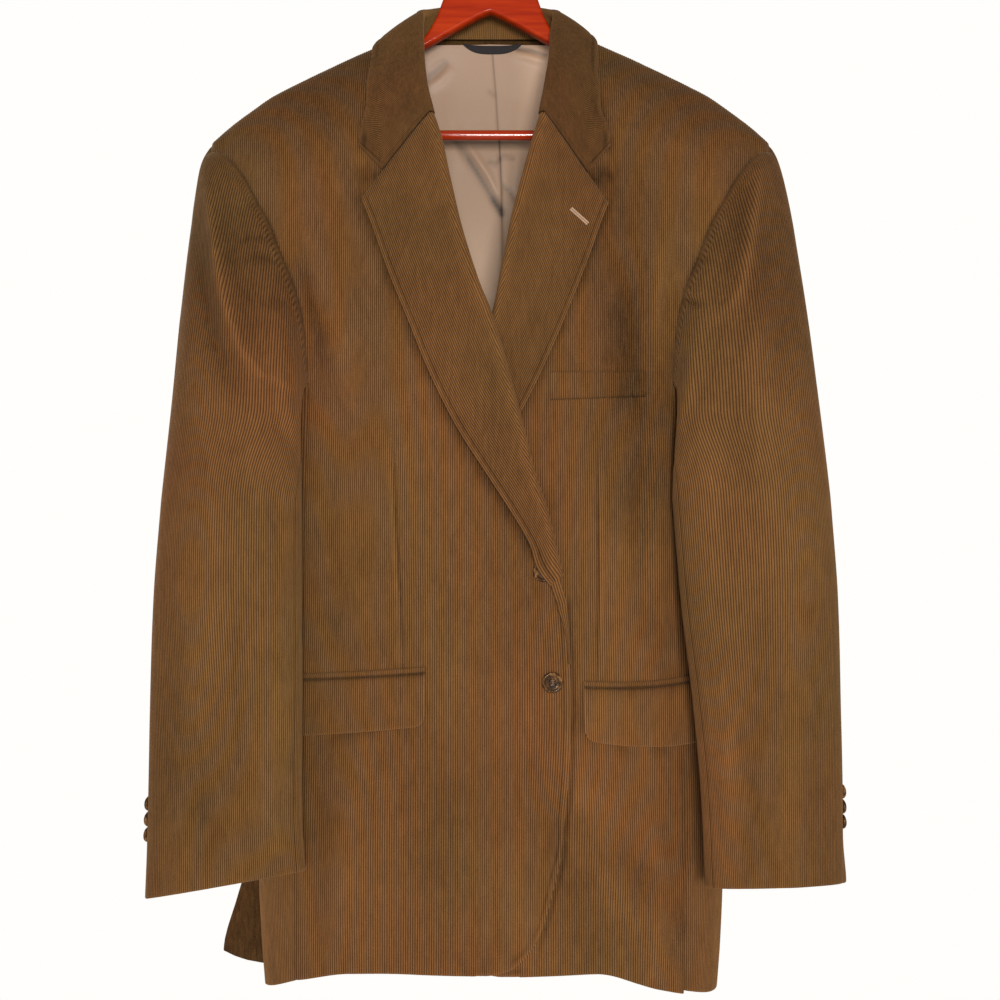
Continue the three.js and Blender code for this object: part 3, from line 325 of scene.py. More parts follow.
def lining_finish():
    """Beige satin: smooth, with a soft gloss, faint threads across and a little cloudiness."""
    satin = Finish("lining", Roughness=0.42, Sheen_Weight=0.05, Sheen_Roughness=0.3, Specular_IOR_Level=0.2)
    cloud = satin.noise((14, 14, 9), detail=3)
    thread = satin.noise((3000, 3000, 260), detail=1)
    # Painted light and shade from the second attribute, with cloud and thread
    value = 1 + cloud * 0.06 + thread * 0.05 + satin.attribute("tone")
    colour = satin.mix(0.5 + cloud, LINING_COLOUR, LINING_ROSE)
    satin.set(satin.shader, {"Base Color": satin.grade(colour, value)})
    satin.set(satin.shader, {"Normal": satin.bump(thread, 0.00004)})
    return satin.material


FINISHES = {"corduroy": corduroy_finish(), "lining": lining_finish()}


def link(name, mesh, node, finishes):
    """Puts a finished mesh into the scene, as the piece that stands for a node or as an added one."""
    for finish in finishes:
        mesh.materials.append(FINISHES[finish])
    piece = bpy.data.objects.new(name, mesh)
    bpy.context.scene.collection.objects.link(piece)
    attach(piece, "root")
    if node:
        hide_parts(node)
    return piece


def mesh_of(name, points, faces, second=None, sharp=75):
    """A mesh from points in metres and arrays of three- or four-cornered faces, shaded smooth."""
    faces = [np.asarray(f, int) for f in faces]
    used, corners = np.unique(np.concatenate([f.ravel() for f in faces]), return_inverse=True)
    totals = np.concatenate([np.full(len(f), f.shape[1]) for f in faces])
    mesh = bpy.data.meshes.new(name)
    mesh.vertices.add(len(used))
    mesh.vertices.foreach_set("co", points[used].astype(np.float32).ravel())
    mesh.loops.add(len(corners))
    mesh.loops.foreach_set("vertex_index", corners.astype(np.int32))
    mesh.polygons.add(len(totals))
    mesh.polygons.foreach_set("loop_start", (np.cumsum(totals) - totals).astype(np.int32))
    if second is not None:
        mesh.polygons.foreach_set("material_index", second.astype(np.int32))
    mesh.update(calc_edges=True)
    mesh.polygons.foreach_set("use_smooth", np.ones(len(totals), bool))
    mesh.set_sharp_from_angle(angle=math.radians(sharp))
    return mesh, used


def attribute(mesh, name, values):
    """A number at each vertex, for the materials."""
    mesh.attributes.new(name, "FLOAT", "POINT").data.foreach_set("value", values.astype(np.float32))


def shell(name, place, normal, relief, groove, tone, present=None, thickness=CLOTH, coarse=(12, 4),
          finishes=("corduroy", "lining"), lined=None,
          node=True):
    """A closed cloth wall: a fine outer grid moved out by its relief, a plain coarse inner grid at the
    thickness, and rims of triangles that lead each fine edge to the nearest coarse corner."""
    columns, levels = relief.shape
    across, along = coarse
    if present is None:
        present = np.ones((columns - 1, levels - 1), bool)
    outer = np.arange(columns * levels).reshape(columns, levels)
    inner = outer + columns * levels
    points = np.concatenate([(place + normal * relief[..., None]).reshape(-1, 3),
                             (place - normal * thickness).reshape(-1, 3)])
    i, j = np.nonzero(present)
    outer_faces = np.stack([outer[i, j], outer[i + 1, j], outer[i + 1, j + 1], outer[i, j + 1]], 1)
    i, j = np.nonzero(present[::across, ::along])
    i, j = i * across, j * along
    lined = np.ones(len(i), bool) if lined is None else lined[i, j]
    unlined = i[~lined], j[~lined]
    inner_faces = np.stack([inner[i, j + along], inner[i + across, j + along],
                            inner[i + across, j], inner[i, j]], 1)
    around = np.pad(present, 1)
    half, half_along = across // 2, along // 2
    rims = []

    def rim(a, b, near, middle, first, last):
        rims.append(np.stack([b, a, near], 1))
        rims.append(np.stack([middle, first, last], 1))

    def column(k):
        return k - k % across + np.where(k % across >= half, across, 0)

    def level(k):
        return k - k % along + np.where(k % along >= half_along, along, 0)

    i, j = np.nonzero(present & ~around[1:-1, :-2])
    m = i % across == half
    rim(outer[i, j], outer[i + 1, j], inner[column(i), j], outer[i[m], j[m]],
        inner[i[m] - half, j[m]], inner[i[m] + across - half, j[m]])
    i, j = np.nonzero(present & ~around[1:-1, 2:])
    m = i % across == half
    rim(outer[i + 1, j + 1], outer[i, j + 1], inner[column(i), j + 1], outer[i[m], j[m] + 1],
        inner[i[m] + across - half, j[m] + 1], inner[i[m] - half, j[m] + 1])
    i, j = np.nonzero(present & ~around[2:, 1:-1])
    m = j % along == half_along
    rim(outer[i + 1, j], outer[i + 1, j + 1], inner[i + 1, level(j)], outer[i[m] + 1, j[m]],
        inner[i[m] + 1, j[m] - half_along], inner[i[m] + 1, j[m] + along - half_along])
    i, j = np.nonzero(present & ~around[:-2, 1:-1])
    m = j % along == half_along
    rim(outer[i, j + 1], outer[i, j], inner[i, level(j)], outer[i[m], j[m]],
        inner[i[m], j[m] + along - half_along], inner[i[m], j[m] - half_along])
    faces = [outer_faces, *rims, inner_faces]
    a, b, c, d = (points[outer_faces[:, k]] for k in range(4))
    facing = np.einsum("ij,ij->i", np.cross(c - a, d - b), normal.reshape(-1, 3)[outer_faces[:, 0]])
    if np.median(facing) < 0:
        faces = [f[:, ::-1] for f in faces]
    points = (points + (0, -CLOTH_FORWARD, -NECK_DROP)) * MM
    second = np.concatenate([*(np.zeros(len(f), bool) for f in faces[:-1]), lined])
    mesh, used = mesh_of(name, points, faces, second)
    # Painted shade on the inner side: over all of it where it is corduroy, else on its corduroy parts; it
    # also takes some groove shade
    inside = np.zeros((columns, levels))
    if finishes[1] == "corduroy":
        inside += INSIDE_SHADE
    else:
        for step_i, step_j in ((0, 0), (across, 0), (0, along), (across, along)):
            inside[unlined[0] + step_i, unlined[1] + step_j] = INSIDE_SHADE
    attribute(mesh, "groove", np.concatenate([groove.ravel(), 0.3 + 0 * inside.ravel()])[used])
    attribute(mesh, "tone", np.concatenate([tone.ravel(), inside.ravel()])[used])
    piece = link(name + "_cloth", mesh, name if node else None, finishes)
    return piece


def wale_columns(start, end):
    """Column places from start to end, three for each wale, in whole dozens of columns."""
    dozens = max(1, round(abs(end - start) / (WALE / WALE_STEPS) / 12))
    return np.linspace(start, end, 12 * dozens + 1)


def wander(a, b):
    """A slow uneven wave between about -1 and 1, from three crossing sines."""
    return (np.sin(a * 1.7 + b * 0.9) + np.sin(a * 0.6 - b * 1.3 + 1.1)
            + np.sin(b * 2.3 + a * 0.35 + 2.4)) / 3


def wales(a, b, fade=1.0):
    """Relief of the cords and their painted groove shade: every third column is a groove, the crowns are
    uneven, and where fade goes to 0 the nap is crushed flat."""
    step = np.arange(len(a)) % WALE_STEPS
    wale = (np.arange(len(a)) // WALE_STEPS)[:, None]
    uneven = 1 + 0.16 * wander(a / 31, b / 47) + 0.14 * np.sin(wale * 12.9898) * np.cos(b / 63 + wale)
    relief = (step > 0)[:, None] * WALE_HIGH * uneven
    groove = np.array(WALE_SHADE)[step][:, None] + 0 * relief
    return lerp(0.6 * WALE_HIGH, relief, fade), lerp(0.4, groove, fade)


# The fronts
# Each front is one cut of corduroy from the shoulder seam to the hem, with a pressed front edge, a
# dart under the chest and a turned-up hem. The wearer's right one lies on the left one.
SEAM_DIP = 0.8                # the cloth turns in at a sewn seam
SEAM_SOFT = 2.0
EDGE_ROUND = 0.9              # a turned edge rounds off over this width
PICK_IN = 5                   # the line of edge stitching lies this far in
PICK_DIP = 0.45
ARMHOLE_FRONT = rows("x z", (154, -312), (155.5, -290), (158, -262), (166, -230), (177, -203), (186, -180),
                     (197, -160), (213, -133), (230, -115), (CAP_X, -109))
FRONT_SEAM = rows("z x", (-312, 154), (-412, 158), (-500, 160), (-600, 163), (-700, 165), (-840, 166))
FRONTS = {
    -1: dict(name="right", first=-62, bulge=5, sag=0, top=rows(
        "x z", (-62, -497), (-54, -471), (-48, -446), (-42, -421), (-33.5, -395), (-21, -346), (3, -260),
        (13, -235), (27, -190), (37, -147), (44, -114), (51, -92), (57, -78), (64, -59), (70, -33), (73, -12),
        (NECK_X, NECK_Z)), bottom=rows(
        "x z", (-62, -676), (-59, -710), (-52, -738), (-46.5, -758), (-40, -776), (-26, -794), (-16, -802),
        (4, -806), (60, -806), (110, -810), (154, -823))),
    1: dict(name="left", first=-50, bulge=4, sag=6, top=rows(
        "x z", (-50, -490), (-37, -440), (-16, -345), (8, -252), (13, -226), (23, -176), (32, -141),
        (39, -115), (46, -92), (54, -75), (62, -54), (69, -31), (73, -12), (NECK_X, NECK_Z)), bottom=rows(
        "x z", (-50, -690), (-44, -730), (-36, -765), (-22, -793), (-8, -804), (10, -808), (83, -808),
        (116, -815), (135, -822), (154, -832))),
}
STRETCH_X = 20
BULGE_WIDTH = 40
SAG_X = 130                   # the wearer's left hem hangs lower round here
SAG_WIDTH = 28
CORNER_REACH = 75             # the stitched edge goes round the lower corner this far
FACING = 75                   # inside, the corduroy goes this far back from the front edge
HEM_TURN = 40                 # and this far up from the hem, and lining covers the rest
HEM_ROWS = (0, 0.8, 2.5, 5.5)  # rows close to the hem, in millimetres, before the even ones
LOW_CELLS = 52
HIGH_CELLS = 44
FRONT_CREASES = rows(
    "places width height",
    (((-79, -360), (-75, -447), (-71, -556)), 1.0, -1.5),
    (((89, -372), (90, -460), (90, -562)), 1.0, -1.7),
    (((-82.5, -364), (-78.5, -450), (-75, -552)), 2.2, 0.9),
    (((92.5, -376), (93.5, -460), (93.5, -560)), 2.2, 1.0),
    (((-150, -185), (-128, -262), (-118, -330)), 9, 1.8),
    (((-160, -215), (-146, -270), (-142, -330)), 6, -1.8),
    (((-138, -400), (-130, -480), (-133, -545)), 12, -1.5),
    (((-105, -600), (-120, -690), (-128, -790)), 14, 1.8),
    (((-40, -600), (-52, -700), (-50, -780)), 18, -1.4),
    (((-146, -620), (-140, -700), (-146, -800)), 10, -1.6),
    (((150, -190), (138, -250), (136, -320)), 8, 1.6),
    (((112, -215), (118, -290), (120, -345)), 17, -1.9),
    (((128, -340), (124, -420), (126, -520)), 9, -1.8),
    (((60, -610), (86, -690), (120, -770)), 12, 2.2),
    (((40, -640), (66, -730), (84, -800)), 14, -2.0),
    (((132, -640), (142, -720), (140, -815)), 9, 2.0),
    (((10, -700), (26, -760), (30, -805)), 12, 1.2),
    (((132, -500), (140, -530), (146, -556)), 10, -1.6),
)
# Painted light and shade, laid where the photographed cloth is darker or lighter: painted shadow beside the
# lapels and collar, in the notches, under the flaps and beside the front edge, and painted shade and light
# over the shoulders, chest and lower front. They hold some of the light and shade that fell on the cloth
FRONT_SHADES = rows(
    "places width shade",
    (((-106.5, -162), (-98.5, -181), (-83, -222), (-64, -268), (-50, -303), (-28, -349), (-1, -393),
      (21, -428), (38, -456)), 6.5, -0.42),
    (((98, -166), (91, -184), (81, -212), (61, -262), (40, -310), (17, -356)), 4.5, -0.3),
    (((-92, -30), (-98, -60), (-107, -117)), 4, -0.3),
    (((84, -36), (90, -70), (100, -118)), 4, -0.35),
    (((-84, -143), (-103, -142)), 8, -0.45),
    (((78, -144), (96, -143)), 8, -0.45),
    (((-128, -330), (-140, -270), (-158, -220)), 7, -0.12),
    (((110, -250), (119, -330)), 15, -0.16),
    (((75, -10), (150, -45), (240, -95)), 62, -0.3),
    (((-75, -10), (-150, -45), (-240, -95)), 62, -0.34),
    (((112, -170), (122, -300), (128, -380)), 44, -0.27),
    (((118, -480), (125, -610)), 34, 0.17),
    (((-60, -604), (-120, -610.5), (-178, -619)), 3.2, -0.26),
    (((86, -617), (110, -621), (130, -624), (180, -624.5)), 3.2, -0.26),
    (((76, -572), (76, -608)), 2, -0.2),
    (((65, -500), (68.5, -540), (70, -587), (68.5, -635), (65, -676), (62.3, -711), (55, -740), (49.3, -760),
      (42.5, -778)), 2.2, -0.36),
    (((76, -682), (94, -704), (140, -742)), 11, -0.17),
    (((96, -664), (138, -704)), 18, 0.1),
    (((166, -765), (172, -802)), 15, -0.28),
)
arm_front = table(ARMHOLE_FRONT, "x", "z")
seam_x = table(FRONT_SEAM, "z", "x")


def body_rows(low, arm, high):
    """Heights of a column's rows: close at the hem, even to the armhole, and closer to the shoulder."""
    even = np.linspace(HEM_ROWS[-1] + 6, 511, LOW_CELLS - len(HEM_ROWS) + 1)
    under = np.concatenate([HEM_ROWS, even]) / 511
    over = 1 - (1 - np.linspace(0, 1, HIGH_CELLS + 1)[1:]) ** 2
    return np.concatenate([lerp(low[:, None], arm[:, None], under),
                           lerp(arm[:, None], high[:, None], over)], 1)


def turned_edge(distance):
    """Relief of a pressed edge with its line of edge stitching."""
    round_off = -0.9 * (1 - ease(0, EDGE_ROUND, distance))
    return round_off - PICK_DIP * np.exp(-((distance - PICK_IN) / 0.8) ** 2)


def edge_tone(distance):
    """Painted light and shade along a stitched edge: lighter up to the stitching, and painted shade in its
    sunk line.
    """
    worn = 0.13 * ease(PICK_IN, 1, distance)
    return worn - 0.3 * np.exp(-((distance - PICK_IN) / 0.9) ** 2)


def sewn_edge(distance):
    """Relief of a sewn edge: the cloth turns in softly towards the seam."""
    return -SEAM_DIP * np.exp(-distance / SEAM_SOFT)


def fold_tone(x, z, creases):
    """Relief of a list of folds, with painted light on their ridges and painted shade in their valleys."""
    relief = 0
    tone = 0
    for row in creases:
        height = line_height(x, z, row["places"], row["width"], row["height"], 0.12)
        relief = relief + height
        tone = tone + height * 0.3 / (1 + row["width"] * 0.24)
    return relief, tone


def shades(x, z, lines):
    """Painted light and shade along a list of lines: shade x exp(-(distance / width)^2)."""
    return sum(row["shade"] * np.exp(-(line_distance(x, z, row["places"])[0] / row["width"]) ** 2)
               for row in lines)


def front(side):
    """A front from its edge to the side seam, with its creases, shades, seams and hem."""
    cut = FRONTS[side]
    top, bottom = table(cut["top"], "x", "z"), table(cut["bottom"], "x", "z")
    first = cut["first"]
    body = wale_columns(first, FRONT_SEAM_X)
    c = np.concatenate([body, wale_columns(FRONT_SEAM_X, CAP_X)[1:]])
    seam = len(body) - 1
    high = np.where(c > NECK_X, ridge_z(c), top(c))
    low = bottom(c) - cut["sag"] * np.exp(-((c - SAG_X) / SAG_WIDTH) ** 2)
    share = (arm_front(FRONT_SEAM_X) - low[seam]) / (high[seam] - low[seam])
    arm = np.where(c <= FRONT_SEAM_X, lerp(low, high, share), arm_front(c))
    z = body_rows(low, arm, high)
    grain = c[:, None] + 0 * z
    on_body = grain <= FRONT_SEAM_X
    x = grain + np.where(on_body, (seam_x(z) - FRONT_SEAM_X) * np.clip((grain - STRETCH_X)
                                                                       / (FRONT_SEAM_X - STRETCH_X), 0, 1), 0)
    edge = np.clip((z - bottom(first)) / (top(first) - bottom(first)), 0, 1)
    x = x - cut["bulge"] * np.sin(np.pi * edge) * (1 - np.clip((grain - first) / BULGE_WIDTH, 0, 1))
    x[seam, :LOW_CELLS] -= SEAM
    turn = turn_at(x, z)
    turn[c >= NECK_X, -1] = 90
    place, normal = skin(side, turn, z)
    place[c >= NECK_X, -1, 1] -= SEAM
    relief, groove = wales(grain, z)
    folds, tone = fold_tone(side * x, z, FRONT_CREASES)
    place = place + normal * folds[..., None]
    tone = tone + shades(side * x, z, FRONT_SHADES)
    hem = np.where(on_body, z - low[:, None], 99)
    slope = np.gradient(low, c)[:, None]
    corner_gap = np.where(grain - first < CORNER_REACH, hem / np.hypot(1, slope), 99)
    edge_gap = np.minimum(np.where(z < top(first) + 8, grain - first, 99), corner_gap)
    relief = relief + turned_edge(edge_gap) - 0.9 * (1 - ease(0, EDGE_ROUND, hem))
    # Painted light and shade along the front edge, and lighter along the hem's last 3 mm
    tone = tone + edge_tone(edge_gap) + 0.12 * ease(3, 0, hem)
    side_gap = np.where(on_body & (z < arm_front(FRONT_SEAM_X)), seam_x(z) - x, 99)
    arm_gap = np.where(grain > FRONT_SEAM_X, (z - arm_front(grain)) * 0.7
                       + 30 * ease(CAP_X - 20, CAP_X, grain), 99)
    shoulder_gap = np.where(grain > NECK_X, np.hypot(high[:, None] - z, place[..., 1] - place[:, -1:, 1]), 99)
    # Painted shade where the cloth turns in at the side, armhole and shoulder seams
    for gap, deep in ((side_gap, 0.4), (arm_gap, 1), (shoulder_gap, 1)):
        relief = relief + deep * sewn_edge(gap)
        tone = tone - 0.25 * deep * np.exp(-gap / 1.6)
    present = np.ones((len(c) - 1, z.shape[1] - 1), bool)
    present[seam:, :LOW_CELLS] = False
    lined = (grain - first > FACING) & (hem > HEM_TURN)
    return shell(f"front_{cut['name']}", place, normal, relief, groove, tone, present=present, lined=lined)


for side in (-1, 1):
    front(side)

# The side panels
# A narrow cut of corduroy under each arm, sewn to the front along its forward edge. Behind it lies the
# open side vent of the back.
ARMHOLE_BACK = rows("x z", (179, -318), (188, -304), (200, -282), (212, -250), (219, -215), (223, -180),
                    (228, -150), (235, -126), (CAP_X, -109))
BACK_SEAM = rows("z turn", (-318, 118), (-412, 111), (-500, 108.4), (-600, 106), (-700, 104), (-840, 100))
BACK_HEM = rows("x z", (0, -837), (120, -837), (150, -835), (166, -830), (179, -820))
VENT = rows("z out", (-600, 0), (-700, 9), (-770, 29), (-815, 43), (-845, 46))
VENT_SHARE = {-1: 1, 1: 0.15}
VENT_START = 100
VENT_RISE = 4
VENT_BACK = 0.2
TUCK = rows("z out", (-640, 0), (-760, 2), (-840, 10))
SIDE_HEM_Z = -836
HEM_DIP = 8
ARM_DIP = 23
SIDE_WIDTH = 84
arm_back = table(ARMHOLE_BACK, "x", "z")
seam_turn = table(BACK_SEAM, "z", "turn")
back_hem = table(BACK_HEM, "x", "z")
vent_out = table(VENT, "z", "out")
tuck_out = table(TUCK, "z", "out")


def side_panel(side):
    """The panel under an arm, from the front's seam to the open vent."""
    low = table(FRONTS[side]["bottom"], "x", "z")(FRONT_SEAM_X)
    u = (wale_columns(0, SIDE_WIDTH) / SIDE_WIDTH)[:, None]
    even = np.linspace(HEM_ROWS[-1] + 6, 511, LOW_CELLS - len(HEM_ROWS) + 1)
    v = (np.concatenate([HEM_ROWS, even]) / 511)[None]
    z_front = lerp(low, ARMHOLE_FRONT[0]["z"], v)
    z_back = lerp(SIDE_HEM_Z, ARMHOLE_BACK[0]["z"], v)
    z = lerp(z_front, z_back, u) - lerp(HEM_DIP, ARM_DIP, v) * np.sin(np.pi * u)
    start = turn_at(seam_x(z_front) + SEAM, z_front)
    end = seam_turn(z_back) - SEAM_TURN
    place, normal = skin(side, lerp(start, end, u), z)
    tuck = tuck_out(z) * ease(0.5, 1, u) * VENT_SHARE[side]
    place[..., 0] -= side * tuck
    relief, groove = wales(u * SIDE_WIDTH + 0 * v, z)
    hem = z - z[:, :1]
    relief = relief + sewn_edge(u * SIDE_WIDTH) + sewn_edge((1 - u) * SIDE_WIDTH)
    relief = relief - 0.9 * (1 - ease(0, EDGE_ROUND, hem))
    # Painted shade along the front seam, and lighter along the hem's last 3 mm
    tone = -0.3 * np.exp(-u * SIDE_WIDTH / 1.6) + 0.12 * ease(3, 0, hem)
    lined = (hem > HEM_TURN) & (u < 0.7)
    return shell(f"side_{FRONTS[side]['name']}", place, normal, relief, groove, tone, lined=lined)


for side in (-1, 1):
    side_panel(side)

# The backs
# Two cuts of corduroy joined by a straight seam down the middle, plain and nearly flat, with a vent
# left open at the foot of each side seam. The one on the wearer's right stands out.
BACK_CREASES = rows(
    "places width height",
    (((40, -60), (120, -85), (190, -95)), 14, 1.2),
    (((60, -120), (130, -170), (205, -190)), 18, -1.4),
    (((150, -210), (160, -290), (150, -380)), 14, 1.8),
    (((120, -230), (124, -330), (112, -450)), 16, -1.6),
    (((60, -480), (70, -600), (64, -760)), 22, 1.4),
    (((110, -520), (128, -640), (130, -790)), 18, -1.6),
    (((150, -560), (156, -660), (152, -780)), 10, 1.2),
    (((20, -200), (30, -330), (24, -470)), 20, 1.0),
    (((10, -28), (60, -50), (110, -52)), 9, -0.8),
)


def back(side):
    """Half of the back, with its creases, side vent, seams and hem."""
    body = wale_columns(0, BACK_SEAM_X)
    c = np.concatenate([body, wale_columns(BACK_SEAM_X, CAP_X)[1:]])
    seam = len(body) - 1
    high = np.where(c > NECK_X, ridge_z(c), NECK_Z * (c / NECK_X) ** 2)
    low = back_hem(c)
    share = (arm_back(BACK_SEAM_X) - low[seam]) / (high[seam] - low[seam])
    arm = np.where(c <= BACK_SEAM_X, lerp(low, high, share), arm_back(c))
    z = body_rows(low, arm, high)
    grain = c[:, None] + 0 * z
    below = np.arange(z.shape[1]) < LOW_CELLS
    seam_place = half_width(z) * np.sin(np.radians(seam_turn(z) + np.where(below, SEAM_TURN, 0)))
    stretch = np.where(z < ARMHOLE_BACK[0]["z"] + 1,
                       (seam_place - BACK_SEAM_X) * np.clip(grain / BACK_SEAM_X, 0, 1) ** 2, 0)
    x = np.maximum(SEAM, grain + np.where(grain <= BACK_SEAM_X, stretch, 0))
    turn = 180 - turn_at(x, z)
    turn[c >= NECK_X, -1] = 90.01
    place, normal = skin(side, turn, z)
    place[c >= NECK_X, -1, 1] += SEAM
    vent = vent_out(z) * ease(VENT_START, BACK_SEAM_X, grain) * VENT_SHARE[side]
    vent = np.where(grain <= BACK_SEAM_X, vent, 0)
    place[..., 0] += side * vent
    place[..., 1] += VENT_BACK * vent + (1 - VENT_BACK) * np.minimum(vent, VENT_RISE)
    relief, groove = wales(grain, z)
    # Folds with painted light on their ridges and painted shade in their valleys
    folds, tone = fold_tone(x * (1 + 0.12 * side), z * (1 + 0.04 * side), BACK_CREASES)
    place = place + normal * folds[..., None]
    side_gap = np.where((grain <= BACK_SEAM_X) & (z < arm_back(BACK_SEAM_X)), BACK_SEAM_X - grain, 99)
    arm_gap = np.where(grain > BACK_SEAM_X, (z - arm_back(grain)) * 0.7
                       + 30 * ease(CAP_X - 20, CAP_X, grain), 99)
    shoulder_gap = np.where(grain > NECK_X, np.hypot(high[:, None] - z, place[..., 1] - place[:, -1:, 1]), 99)
    hem = z - low[:, None] + np.where(grain > BACK_SEAM_X, 99, 0)
    relief = relief - 0.9 * (1 - ease(0, EDGE_ROUND, hem))
    # Painted shade where the cloth turns in at the middle, side, armhole and shoulder seams
    for gap in (grain, side_gap, arm_gap, shoulder_gap):
        relief = relief + sewn_edge(gap)
        tone = tone - 0.25 * np.exp(-gap / 1.6)
    present = np.ones((len(c) - 1, z.shape[1] - 1), bool)
    present[seam:, :LOW_CELLS] = False
    return shell(f"back_{FRONTS[side]['name']}", place, normal, relief, groove, tone, present=present,
                 finishes=("corduroy", "corduroy"))


for side in (-1, 1):
    back(side)

# The sleeves
# Each sleeve is sewn from an upper and an under cut, set into the armhole with a little fullness, and
# hangs forward of the side. Wales run straight down it and end at the armhole seam.
LAY = 0.4
SLEEVE_LINES = rows(
    "share upper cuff ax ay az bx by bz",
    (0, 15, 35, 13, -2, -28, -12, 14, 150), (0.1, 50, 65, 22, -14, -22, -8, 8, 130),
    (0.2, 85, 95, 26, -30, -18, -3, 4, 95), (0.31, 130, 130, 14, -34, -22, 0, 0, 70),
    (0.42, 178, 172, 4, -22, -16, -1, 0, 45), (0.5, 212, 206, 10, -6, -22, 6, -3, 38),
    (0.6, 245, 243, 34, 6, -14, 18, 10, 45), (0.7, 282, 296, 26, 14, -22, 10, 30, 90),
    (0.8, 320, 346, 26, 8, -30, 2, 34, 130), (0.9, 348, 372, 18, 4, -34, -8, 26, 150))
SLEEVE_TOP = -412
CUFF_LEVEL = -700
SLEEVE_TUBE = rows(
    "z outR inR outL inL mid front back",
    (SLEEVE_TOP, 274, 158, 284, 153, -42, 35, 31), (-495, 279, 157, 288.5, 159, -48, 32, 30),
    (-579, 281, 156, 290, 168.5, -51, 30, 28), (-662, 282, 156, 291, 175.5, -53, 28, 27),
    (-745, 284, 151, 291, 179, -54, 27, 27))
CUFF = {-1: dict(out=-740, front=-725, inner=-717, back=-738),
        1: dict(out=-731, front=-722, inner=-735, back=-734)}
SLEEVE_SEAMS = (0.385, 0.8)
SLEEVE_HALF_GAP = 0.0008
LINE_START = 0.2              # shares are counted from this far before the shoulder, where the back seam is
CAP_SHARE = 0.46
SLEEVE_OFF = CLOTH + 2 * LAY
SLEEVE_FOLDS = rows(
    "side u0 v0 u1 v1 width height",
    (-1, 0.03, 0.05, 0.2, 0.3, 0.035, 3), (-1, 0.2, 0.3, 0.37, 0.42, 0.04, 4),
    (-1, 0.25, 0.16, 0.36, 0.34, 0.03, -3),
    (1, 0.08, 0.05, 0.26, 0.36, 0.035, 4), (1, 0.22, 0.1, 0.36, 0.3, 0.03, -3),
    (1, 0.3, 0.6, 0.12, 0.92, 0.05, 3),
    (-1, 0.33, 0.55, 0.2, 0.85, 0.05, 2.5))


def armhole_loop():
    """The armhole's seam round the body by share of its length: turn and height of each place."""
    x_front = np.arange(CAP_X, FRONT_SEAM_X - 0.5, -4.0)
    x_back = np.arange(BACK_SEAM_X + 4, CAP_X + 0.5, 4.0)
    u = np.linspace(0, 1, 13)
    z_under = lerp(ARMHOLE_FRONT[0]["z"], ARMHOLE_BACK[0]["z"], u) - ARM_DIP * np.sin(np.pi * u)
    turn_under = lerp(turn_at(FRONT_SEAM_X, ARMHOLE_FRONT[0]["z"]), BACK_SEAM[0]["turn"], u)
    turn = np.concatenate([[90], turn_at(x_front, arm_front(x_front)), turn_under,
                           180 - turn_at(x_back, arm_back(x_back)), [90]])
    z = np.concatenate([[CAP_Z], arm_front(x_front), z_under, arm_back(x_back), [CAP_Z]])
    steps = np.linalg.norm(np.diff(body_point(1, turn, z), axis=0), axis=1)
    share = np.concatenate([[0], np.cumsum(steps)]) / steps.sum()
    return [dict(share=s, turn=t, z=h) for s, t, h in zip(share, turn, z)]


LOOP = armhole_loop()
loop_turn = table(LOOP, "share", "turn")
loop_z = table(LOOP, "share", "z")


def line_table(key, wrap=0):
    """A value by share of the armhole, repeated past both ends so that the sleeve closes."""
    before = [dict(share=row["share"] - 1, value=row[key] - wrap) for row in SLEEVE_LINES[-2:]]
    after = [dict(share=row["share"] + 1, value=row[key] + wrap) for row in SLEEVE_LINES[:3]]
    here = [dict(share=row["share"], value=row[key]) for row in SLEEVE_LINES]
    values = table(before + here + after, "share", "value")
    return lambda share: values(np.mod(share + LINE_START, 1) - LINE_START)


sleeve_line = {key: line_table(key) for key in ("ax", "ay", "az", "bx", "by", "bz")}
line_upper = line_table("upper", 360)
line_cuff = line_table("cuff", 360)
tube = {key: table(SLEEVE_TUBE, "z", key) for key in ("outR", "inR", "outL", "inL", "mid", "front", "back")}


def tube_point(side, share, z):
    """An ellipse with its own front and back depth, numbered by share of the armhole."""
    angle = np.radians(lerp(line_upper(share), line_cuff(share), ease(SLEEVE_TOP, CUFF_LEVEL, z)))
    outer = tube["outR" if side < 0 else "outL"](z)
    inner = tube["inR" if side < 0 else "inL"](z)
    depth = np.where(np.sin(angle) > 0, tube["front"](z), tube["back"](z))
    x = (outer + inner) / 2 + (outer - inner) / 2 * np.cos(angle)
    return np.stack([side * x, tube["mid"](z) - depth * np.sin(angle), z + 0 * x], -1)


def cuff_height(side, share):
    """Height of the cuff's edge: its level plus a cosine and a sine term round the cuff."""
    angle = np.radians(line_cuff(share))
    cuff = CUFF[side]
    level = sum(cuff.values()) / 4
    slant = (cuff["out"] - cuff["inner"]) / 2 * np.cos(angle)
    return level + slant + (cuff["front"] - cuff["back"]) / 2 * np.sin(angle)


def sleeve_plain(side, share, v):
    """Above the cap's share of the rows a cubic curve leads from the armhole to the tube's first ring."""
    share, v = np.broadcast_arrays(np.asarray(share, float), np.asarray(v, float))
    low = lerp(SLEEVE_TOP, cuff_height(side, share), np.clip((v - CAP_SHARE) / (1 - CAP_SHARE), 0, None))
    below = tube_point(side, share, low)
    top = tube_point(side, share, np.full(share.shape, float(SLEEVE_TOP)))
    around = np.mod(share, 1)
    start = skin(side, loop_turn(around), loop_z(around), SLEEVE_OFF)[0]
    a = start + np.stack([side * sleeve_line["ax"](share), sleeve_line["ay"](share),
                          sleeve_line["az"](share)], -1)
    b = top + np.stack([side * sleeve_line["bx"](share), sleeve_line["by"](share),
                        sleeve_line["bz"](share)], -1)
    t = (np.clip(v, 0, CAP_SHARE) / CAP_SHARE)[..., None]
    ab, bc, cd = lerp(start, a, t), lerp(a, b, t), lerp(b, top, t)
    above = lerp(lerp(ab, bc, t), lerp(bc, cd, t), t)
    return np.where((v >= CAP_SHARE)[..., None], below, above)


